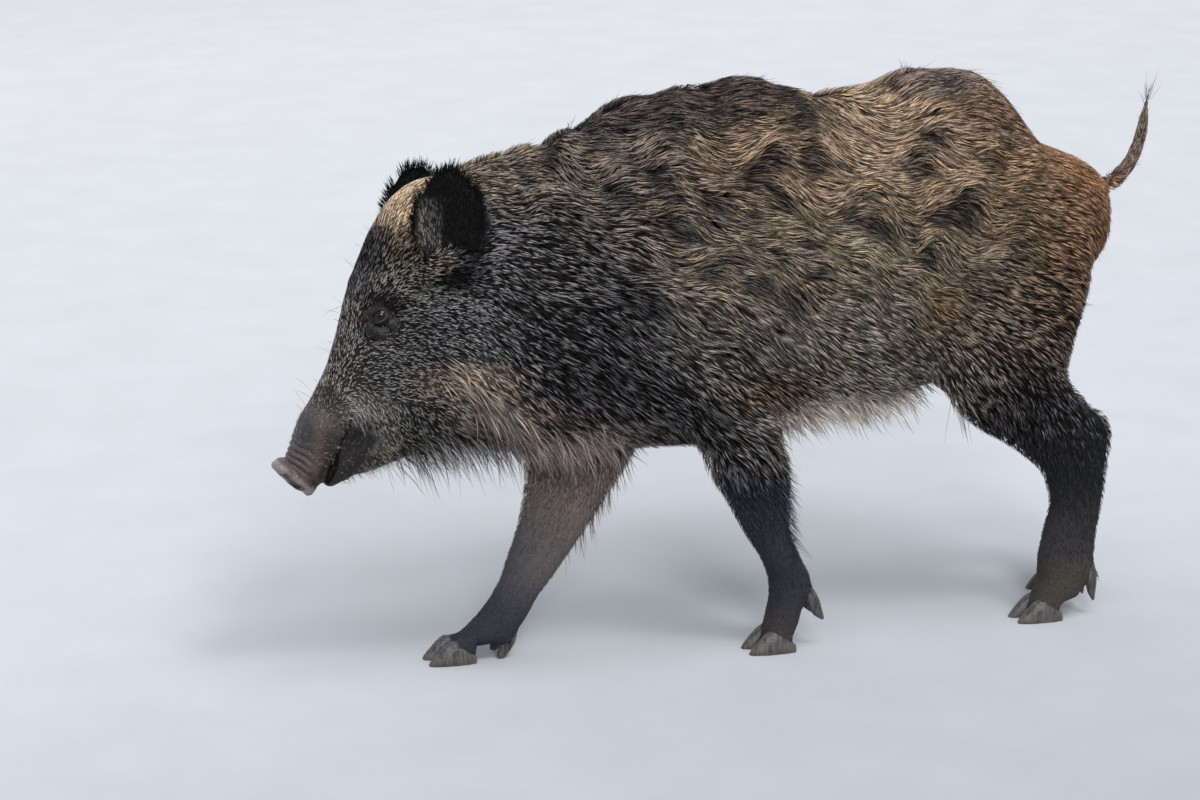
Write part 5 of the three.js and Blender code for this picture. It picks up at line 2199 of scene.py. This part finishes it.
@dataclass
class Bristles:
    """Short stiff hairs scattered over the bare snout and lips by Geometry Nodes."""

    skin: Skin
    density: float = 60000.0
    seed: int = 7

    def build(self) -> None:
        """Scatters the bristles and keeps them as plain mesh."""
        seed_hair = new_object("bristle_seed", self._one())
        host = new_object("bristle_host", self.skin.obj.data.copy())
        modifier = host.modifiers.new("scatter", "NODES")
        group = self._group()
        sockets = {item.name: item.identifier for item in group.interface.items_tree if item.in_out == "INPUT"}
        modifier.node_group = group
        modifier[sockets["Bristle"]] = seed_hair
        modifier[sockets["Density"]] = self.density
        modifier[sockets["Seed"]] = self.seed
        modifier[sockets["Material"]] = BristleFinish().make()
        mesh = bpy.data.meshes.new_from_object(host.evaluated_get(bpy.context.evaluated_depsgraph_get()))
        for spare in (host, seed_hair):
            data = spare.data
            bpy.data.objects.remove(spare)
            bpy.data.meshes.remove(data)
        self._unwrap(mesh)
        obj = new_object("bristles_snout", mesh)
        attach(obj, "root")
        LOG.info("bristles_snout: %d triangles", len(mesh.polygons))

    @staticmethod
    def _one() -> Mesh:
        """One bristle: a closed spindle, bent a little, that stands on z.

        Returns:
            The new mesh.
        """
        middle = [(math.cos(a) * 0.16, 0.35 + math.sin(a) * 0.16, 1.9) for a in (0.5, 2.6, 4.7)]
        points = np.array([(0.0, 0.0, -0.6), *middle, (0.0, 1.3, 4.6)]) / 1000.0
        faces = [[0, 2, 1], [0, 3, 2], [0, 1, 3], [4, 1, 2], [4, 2, 3], [4, 3, 1]]
        mesh = bpy.data.meshes.new("bristle")
        mesh.from_pydata(points.tolist(), [], faces)
        return mesh

    @staticmethod
    def _group() -> bpy.types.NodeTree:
        """The scatter: points where the skin is marked, a bristle on each, made real.

        Returns:
            The node group.
        """
        group = bpy.data.node_groups.new("bristle_scatter", "GeometryNodeTree")
        for name, kind in (("Geometry", "Geometry"), ("Bristle", "Object"), ("Density", "Float"),
                           ("Seed", "Int"), ("Material", "Material")):
            group.interface.new_socket(name, in_out="INPUT", socket_type=f"NodeSocket{kind}")
        group.interface.new_socket("Geometry", in_out="OUTPUT", socket_type="NodeSocketGeometry")
        nodes, links = group.nodes, group.links
        inputs, outputs = nodes.new("NodeGroupInput"), nodes.new("NodeGroupOutput")
        marked, lie = nodes.new("GeometryNodeInputNamedAttribute"), nodes.new("GeometryNodeInputNamedAttribute")
        for node, name in ((marked, "Bristly"), (lie, "Lie")):
            node.data_type = "FLOAT_VECTOR"
            node.inputs["Name"].default_value = name
        parts, times = nodes.new("ShaderNodeSeparateXYZ"), nodes.new("ShaderNodeMath")
        times.operation = "MULTIPLY"
        points = nodes.new("GeometryNodeDistributePointsOnFaces")
        info = nodes.new("GeometryNodeObjectInfo")
        place = nodes.new("GeometryNodeInstanceOnPoints")
        stray, size = nodes.new("FunctionNodeRandomValue"), nodes.new("FunctionNodeRandomValue")
        stray.data_type = "FLOAT_VECTOR"
        stray.inputs[0].default_value = (-0.35, -0.35, -0.35)
        stray.inputs[1].default_value = (0.35, 0.35, 0.35)
        size.inputs[2].default_value, size.inputs[3].default_value = 0.45, 1.15
        lean, turn = nodes.new("ShaderNodeVectorMath"), nodes.new("FunctionNodeAlignRotationToVector")
        real, dress = nodes.new("GeometryNodeRealizeInstances"), nodes.new("GeometryNodeSetMaterial")
        for start, end in (
            (inputs.outputs["Geometry"], points.inputs["Mesh"]),
            (marked.outputs["Attribute"], parts.inputs[0]),
            (parts.outputs[0], times.inputs[0]),
            (inputs.outputs["Density"], times.inputs[1]),
            (times.outputs[0], points.inputs["Density"]),
            (inputs.outputs["Seed"], points.inputs["Seed"]),
            (points.outputs["Points"], place.inputs["Points"]),
            (inputs.outputs["Bristle"], info.inputs["Object"]),
            (info.outputs["Geometry"], place.inputs["Instance"]),
            (lie.outputs["Attribute"], lean.inputs[0]),
            (stray.outputs[0], lean.inputs[1]),
            (lean.outputs[0], turn.inputs["Vector"]),
            (turn.outputs[0], place.inputs["Rotation"]),
            (size.outputs[1], place.inputs["Scale"]),
            (place.outputs[0], real.inputs[0]),
            (real.outputs[0], dress.inputs["Geometry"]),
            (inputs.outputs["Material"], dress.inputs["Material"]),
            (dress.outputs[0], outputs.inputs[0]),
        ):
            links.new(start, end)
        return group

    @staticmethod
    def _unwrap(mesh: Mesh) -> None:
        """Turns the roots' places on the skin's unwrap into small patches, one for each bristle.

        Args:
            mesh: The mesh.
        """
        held = mesh.attributes["OFBake"]
        places = read_values(held.data, "vector", 2, np.float32)
        corners = read_values(mesh.loops, "vertex_index", 1)[:, 0]
        if held.domain != "POINT":
            spread = np.zeros((len(mesh.vertices), 2), np.float32)
            spread[corners] = places
            places = spread
        mesh.attributes.remove(held)
        for name in ("Tone", "Cover", "Lie", "Bristly"):
            if name in mesh.attributes:
                mesh.attributes.remove(mesh.attributes[name])
        patch = np.array([[0, -0.0015], [-0.0008, 0], [0.0008, 0], [0, 0], [0, 0.0015]], np.float32)
        places = places + np.tile(patch, (len(places) // len(patch), 1))
        layer = mesh.uv_layers.new(name="OFBake")
        layer.uv.foreach_set("vector", places[corners].ravel())


# ------------------------------------------------------------------ coat


@dataclass
class Coat:
    """The whole coat, as several joined meshes of tufts."""

    skin: Skin
    plan: CoatPlan
    total: int = 0

    def __post_init__(self) -> None:
        """Finds the share of each region at the skin's vertices."""
        self.maker = TuftMaker(self.skin, self.plan)
        self.material = CoatFinish().make()
        points = self.skin.points
        self.weight = self.plan.density(points)
        self.head = self.plan.head(points)
        self.ears = self.plan.ears(points)
        self.legs = self.plan.legs(points)
        self.tail = tail_share(points)
        self.wavy = self.plan.wavy(points)

    def build(self) -> None:
        """Grows every part of the coat."""
        self._trunk()
        self._short()
        self._fringes()

    def _lying(self, name: str, weight: Array, style: TuftStyle, seed: int, slot: Slot, halves: bool = False) -> None:
        """Adds tufts that lie along the skin."""
        roots = self.skin.plant(style.guides, weight, seed)
        self._add(name, self.maker.lying(roots, style, seed + 1), slot, halves)

    def _loose(self, name: str, weight: Array, style: TuftStyle, seed: int, slot: Slot = Slot.COAT) -> None:
        """Adds tufts that stand off the skin."""
        roots = self.skin.plant(style.guides, weight, seed)
        self._add(name, self.maker.loose(roots, style, seed + 1), slot)

    def _trunk(self) -> None:
        """The long coat of the neck, shoulders, back, flanks and rump."""
        trunk = self.weight * (1 - np.maximum.reduce([self.head, self.ears, self.legs, self.tail]))
        back = TuftStyle(15500, 5, 1.4, 2, 4.5, clump=0.5, wave=0.8, length=0.95, stray=0.1, pale=3.7, dark=0.2,
                         uneven=0.45, root=0.1)
        self._lying("back", trunk * self.wavy, back, 1, Slot.COAT, halves=True)
        rest = TuftStyle(13500, 5, 1.5, 2, 4.5, clump=0.3, wave=0.8, pale=4.0, dark=0.18, pale_share=0.42,
                         uneven=0.4, root=0.1)
        self._lying("trunk", trunk * (1.02 - self.wavy), rest, 3, Slot.COAT, halves=True)

    def _short(self) -> None:
        """The short coat of the head, ears, legs and tail."""
        face = TuftStyle(13500, 3, 1.3, 2, 2.6, clump=0.1, stray=0.17, lift=0.95, pale=5.0, dark=0.24,
                         pale_share=0.38, root=0.08)
        self._lying("head", self.weight * self.head * (1 - self.ears), face, 5, Slot.COAT)
        ear = TuftStyle(4200, 2, 0.95, 2, 2.0, clump=0.1, stray=0.2, pale=2.4, dark=0.4)
        self._lying("ears", self.weight * self.ears, ear, 7, Slot.DARK_COAT)
        leg = TuftStyle(11000, 2, 1.15, 2, 2.2, clump=0.1, stray=0.12, pale=1.25, dark=0.85, uneven=0.12, root=0.5)
        self._lying("legs", self.weight * self.legs, leg, 9, Slot.DARK_COAT)
        brush = TuftStyle(1000, 2, 1.2, 2, 1.6, clump=0.1, stray=0.2)
        self._lying("tail", self.weight * self.tail, brush, 11, Slot.COAT)

    def _fringes(self) -> None:
        """Longer hair that stands off the body: belly, throat, elbows, thighs, ears and crest."""
        points, normals = self.skin.points, self.skin.normals
        x, _y, z = points.T
        down = rise(normals[:, 2], -0.15, -0.6)
        trunk = 1 - np.maximum.reduce([self.ears, self.legs, self.tail])
        belly = down * rise(x, 170, 230) * rise(x, 470, 420) * rise(z, 350, 320) * trunk
        throat = down * rise(x, -300, -240) * rise(x, 0, -50) * rise(z, 345, 320) * trunk
        behind = rise(normals[:, 0], 0.25, 0.8)
        arms = behind * rise(z, 120, 190) * rise(z, 330, 290) * (x < 330) * (x > -120)
        thigh = behind * rise(z, 300, 360) * (x > 560) * (1 - self.tail)
        crest = rise(normals[:, 2], 0.55, 0.95) * rise(x, -230, -160) * rise(x, 640, 560) * trunk
        for name, weight, seed, style in (
            ("belly", belly, 21, TuftStyle(1500, 2, 1.0, 3, 3.0, clump=0.6, length=56, stand=0.36, hang=0.3,
                                           stray=0.2, pale=2.6, pale_share=0.7, root=0.5)),
            ("throat", throat, 23, TuftStyle(1200, 2, 0.8, 3, 3.0, clump=0.5, length=55, stand=0.4, hang=0.5,
                                             stray=0.28, pale=8.0, pale_share=0.7, root=0.5)),
            ("arms", arms, 25, TuftStyle(520, 2, 0.9, 3, 3.0, clump=0.6, length=34, stand=0.4, hang=0.2, stray=0.16)),
            ("thigh", thigh, 27, TuftStyle(420, 1, 0.9, 2, 3.0, clump=0.4, length=24, stand=0.3, hang=0.1,
                                           stray=0.16)),
            ("crest", crest, 29, TuftStyle(1800, 1, 0.8, 3, 3.0, clump=0.4, length=44, stand=0.14, hang=0.08,
                                           stray=0.09)),
        ):
            self._loose(f"fringe_{name}", weight, style, seed)
        fetlocks = TuftStyle(600, 2, 1.0, 2, 2.0, clump=0.3, length=13, stand=0.12, hang=0.5, stray=0.14, pale=1.2,
                             dark=0.8, root=0.7)
        self._loose("fetlocks", self.plan.fetlock(points) * behind, fetlocks, 61, Slot.DARK_COAT)
        self._ear_rims()
        self._tassel()
        self._whiskers()

    def _ear_rims(self) -> None:
        """Long dark hair along the edges of the ears."""
        style = TuftStyle(1100, 2, 0.7, 2, 2.0, clump=0.3, length=16, stand=0.06, hang=-0.1, stray=0.1,
                          pale=1.2, dark=0.7, root=0.7)
        places, widths = (0, 0.34, 0.54, 0.72, 0.86, 1.0), (0.5, 0.9, 1, 0.9, 0.68, 0.2)
        for number, ear in enumerate(EARS):
            u, _v, w = ear.local(self.skin.points).T
            wide = ear.half_width * np.interp(w / ear.length, places, widths)
            rim = rise(np.abs(u) / wide, 0.7, 0.9) * rise(w, 50, 70) + rise(w, ear.length * 0.8, ear.length * 0.9)
            roots = self.skin.plant(style.guides, np.clip(rim, 0, 1) * ear.share(self.skin.points), 31 + number)
            across, _thick, along = ear.axes()
            u, _v, w = ear.local(roots.points).T
            ahead, aside = 0.55 + 0.45 * w / ear.length, 0.8 * u / ear.half_width
            lean = along[None] * ahead[:, None] + across[None] * aside[:, None]
            side = "left" if ear.side < 0 else "right"
            self._add(f"rim_ear_{side}", self.maker.loose(roots, style, 33 + number, unit(lean)), Slot.DARK_COAT)

    def _whiskers(self) -> None:
        """Hair of the chin, jowl and lips, and long single hairs of the chin, cheeks and brows."""
        points, normals = self.skin.points, self.skin.normals
        back, _side, level = head_coordinates(points)
        front = points[:, 0] < -150
        sides = np.abs(normals[:, 1]) > 0.3
        under = rise(dot(normals, np.broadcast_to(-HEAD_UP, points.shape)), 0.0, 0.6) * front
        chin = under * rise(back, 44, 60) * rise(back, 132, 110) * rise(level, 110, 90)
        self._loose("chin", chin, TuftStyle(560, 1, 0.5, 3, 2.0, clump=0.3, length=20, stand=0.3, hang=0.15, stray=0.2,
                                            pale=5.0, dark=1.5, pale_share=0.7, root=0.3), 51)
        jowl = np.exp(-((back - 150) / 50) ** 2 - ((level - 183 + 0.35 * (back - 150)) / 13) ** 2) * (1 - self.ears)
        self._loose("jowl", jowl * sides, TuftStyle(1000, 2, 1.1, 3, 3.0, clump=0.5, length=54, stand=0.16, hang=0.4,
                                                    stray=0.22, pale=3.6), 55)
        patch = np.exp(-((back - 26) / 18) ** 2 - ((level - 113) / 10) ** 2) * sides * front
        self._loose("lips", patch, TuftStyle(420, 2, 1.0, 3, 2.5, clump=0.4, length=21, stand=0.12, hang=0.15,
                                             stray=0.14, pale=3.0, root=0.4), 57)
        long = under * rise(back, 60, 80) * rise(back, 120, 100)
        face = rise(normals[:, 0], -0.1, -0.6) * rise(level, 60, 90) * rise(level, 330, 300) * front * 0.4
        lips = rise(np.abs(back - 20), 12, 4) * rise(level, 30, 50) * rise(level, 110, 90) * front * 0.5
        where = np.clip(long + face + lips, 0, 1) * (1 - self.ears)
        self._loose("whiskers", where, TuftStyle(110, 1, 0.5, 4, 2.0, clump=0.0, length=44, stand=0.6, hang=0.35,
                                                 stray=0.2, pale=3.0, dark=0.5, root=0.8), 53)

    def _tassel(self) -> None:
        """Loose hair along the tail and from its tip."""
        z = self.skin.points[:, 2]
        self._loose("tassel", rise(z, 570, 610) * self.tail, TuftStyle(
            170, 1, 0.6, 3, 1.5, clump=0.5, length=17, stand=0.2, hang=0.1, stray=0.12), 41)
        self._loose("tail_tip", rise(z, 664, 674) * self.tail, TuftStyle(
            16, 1, 0.8, 4, 1.5, clump=0.2, length=40, stand=0.12, hang=-0.1, stray=0.16, dark=0.8, root=0.9), 43)

    def _add(self, name: str, tufts: Tufts, slot: Slot, halves: bool = False) -> None:
        """Makes one part of the coat, in pieces that stay below the most triangles.

        Args:
            name: What the part is called.
            tufts: Its blades.
            slot: The material slot.
            halves: Whether it is parted left and right at the mid-plane.
        """
        y = tufts.lines[:, 0, 1]
        most = MOST_TRIANGLES // (tufts.triangles() // len(tufts))
        parts = {"_left": y < 0.0, "_right": y >= 0.0} if halves else {"": np.ones(len(y), bool)}
        for label, keep in parts.items():
            chosen = np.flatnonzero(keep)
            groups = [chosen]
            if len(chosen) > most:
                order = np.argsort(tufts.lines[chosen, 0, 0], kind="stable")
                groups = np.array_split(chosen[order], math.ceil(len(chosen) / most))
            for number, group in enumerate(groups):
                suffix = f"_{number + 1}" if len(groups) > 1 else ""
                self._piece(f"coat_{name}{label}{suffix}", tufts.where(group), slot)

    def _piece(self, name: str, tufts: Tufts, slot: Slot) -> None:
        """One object of the coat.

        Args:
            name: Its name.
            tufts: Its blades.
            slot: The material slot; not used.
        """
        obj = new_object(name, tufts.mesh(name))
        obj.data.materials.append(self.material)
        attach(obj, "root")
        self.total += tufts.triangles()
        LOG.info("%s: %d tufts, %d triangles", name, len(tufts), tufts.triangles())


# ------------------------------------------------------------------ studio


@dataclass(frozen=True)
class Studio:
    """A pale floor, painted darker towards the camera as a painted fall of light, soft light and the camera."""

    yaw: float = 20.0
    pitch: float = 15.0
    lens: float = 110.0
    distance: float = 4.583
    aim: tuple[float, float, float] = (0.0, 0.0, 337.5)

    def build(self) -> None:
        """Makes the floor, the lights and the camera."""
        self._floor()
        self._lights()
        self._camera()

    def _floor(self) -> None:
        """A large pale floor, painted darker towards the camera and paler far off: a painted fall of the light."""
        bm = bmesh.new()
        bmesh.ops.create_grid(bm, x_segments=8, y_segments=8, size=30.0)
        mesh = bpy.data.meshes.new("floor")
        bm.to_mesh(mesh)
        bm.free()
        floor = new_object("floor", mesh)
        nodes = Nodes.start("pale_floor")
        x, y, _z = nodes.parts(nodes.place())
        # Painted fall of the light: the floor's colour darkens towards the camera and pales far off.
        light_falloff = nodes.math("ADD", nodes.math("MULTIPLY", y, 0.94), nodes.math("MULTIPLY", x, -0.12))
        tone = nodes.blend(nodes.ramp(light_falloff, -1.6, 0.4, 0.0, 1.0), (0.22, 0.236, 0.268, 1), (0.50, 0.517, 0.55, 1))
        tone = nodes.blend(nodes.ramp(light_falloff, 0.4, 4.2, 0.0, 1.0), tone, (0.71, 0.72, 0.745, 1))
        patch = nodes.ramp(nodes.grain(7.0, 6.0), 0.35, 0.7, 0.97, 1.02)
        nodes.value(nodes.shader, "Base Color", nodes.times(tone, patch))
        nodes.finish({"Roughness": 0.9, "Specular IOR Level": 0.1})
        mesh.materials.append(nodes.material)

    def _lights(self) -> None:
        """An even pale sky and one large soft lamp above the animal's left side."""
        world = bpy.data.worlds.new("soft_sky")
        bpy.context.scene.world = world
        world.use_nodes = True
        background = world.node_tree.nodes["Background"]
        background.inputs["Color"].default_value = (0.93, 0.96, 1.0, 1.0)
        background.inputs["Strength"].default_value = 0.78
        self._lamp("wide_lamp", 9.0, 780.0, (0.8, -5.0, 11.0))
        self._lamp("key_lamp", 2.4, 270.0, (1.6, -6.0, 9.5))
        self._lamp("low_lamp", 1.6, 160.0, (-1.14, -5.24, 3.42))

    @staticmethod
    def _lamp(name: str, size: float, energy: float, place: tuple[float, float, float]) -> None:
        """A round lamp that looks at the animal.

        Args:
            name: Its name.
            size: Its width in metres.
            energy: Its power in watts.
            place: Where it hangs.
        """
        lamp = bpy.data.lights.new(name, "AREA")
        lamp.shape = "DISK"
        lamp.size = size
        lamp.energy = energy
        obj = bpy.data.objects.new(name, lamp)
        obj.location = place
        obj.rotation_euler = (Vector((0.0, 0.0, 0.4)) - obj.location).to_track_quat("-Z", "Y").to_euler()
        bpy.context.scene.collection.objects.link(obj)

    def _camera(self) -> None:
        """The camera, a little above and ahead of the animal's left side."""
        yaw, pitch = math.radians(self.yaw), math.radians(self.pitch)
        heading = Vector((math.sin(yaw) * math.cos(pitch), math.cos(yaw) * math.cos(pitch), -math.sin(pitch)))
        camera = bpy.data.cameras.new("camera")
        camera.lens = self.lens
        camera.sensor_width = 36.0
        camera.clip_end = 100.0
        obj = bpy.data.objects.new("camera", camera)
        obj.location = Vector(PLACE.metres(np.array(self.aim))) - heading * self.distance
        obj.rotation_euler = heading.to_track_quat("-Z", "Y").to_euler()
        bpy.context.scene.collection.objects.link(obj)
        bpy.context.scene.camera = obj


# ------------------------------------------------------------------ the figure


def main() -> None:
    """Builds every piece around the frame."""
    logging.basicConfig(level=logging.INFO, format="%(name)s: %(message)s")
    Studio().build()
    bpy.context.scene.view_settings.view_transform = "Standard"
    skin = Skin()
    skin.build()
    skin.obj.data.materials.append(SkinFinish().make())
    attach(skin.obj, "root")
    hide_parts(*FLESH)
    LOG.info("skin: %d triangles", len(skin.triangles))
    Claws().build()
    for side in (-1, 1):
        Eye(side, skin).build()
    Bristles(skin).build()
    coat = Coat(skin, PLAN)
    coat.build()
    LOG.info("coat: %d triangles in all", coat.total)


if __name__ == "__main__":
    main()
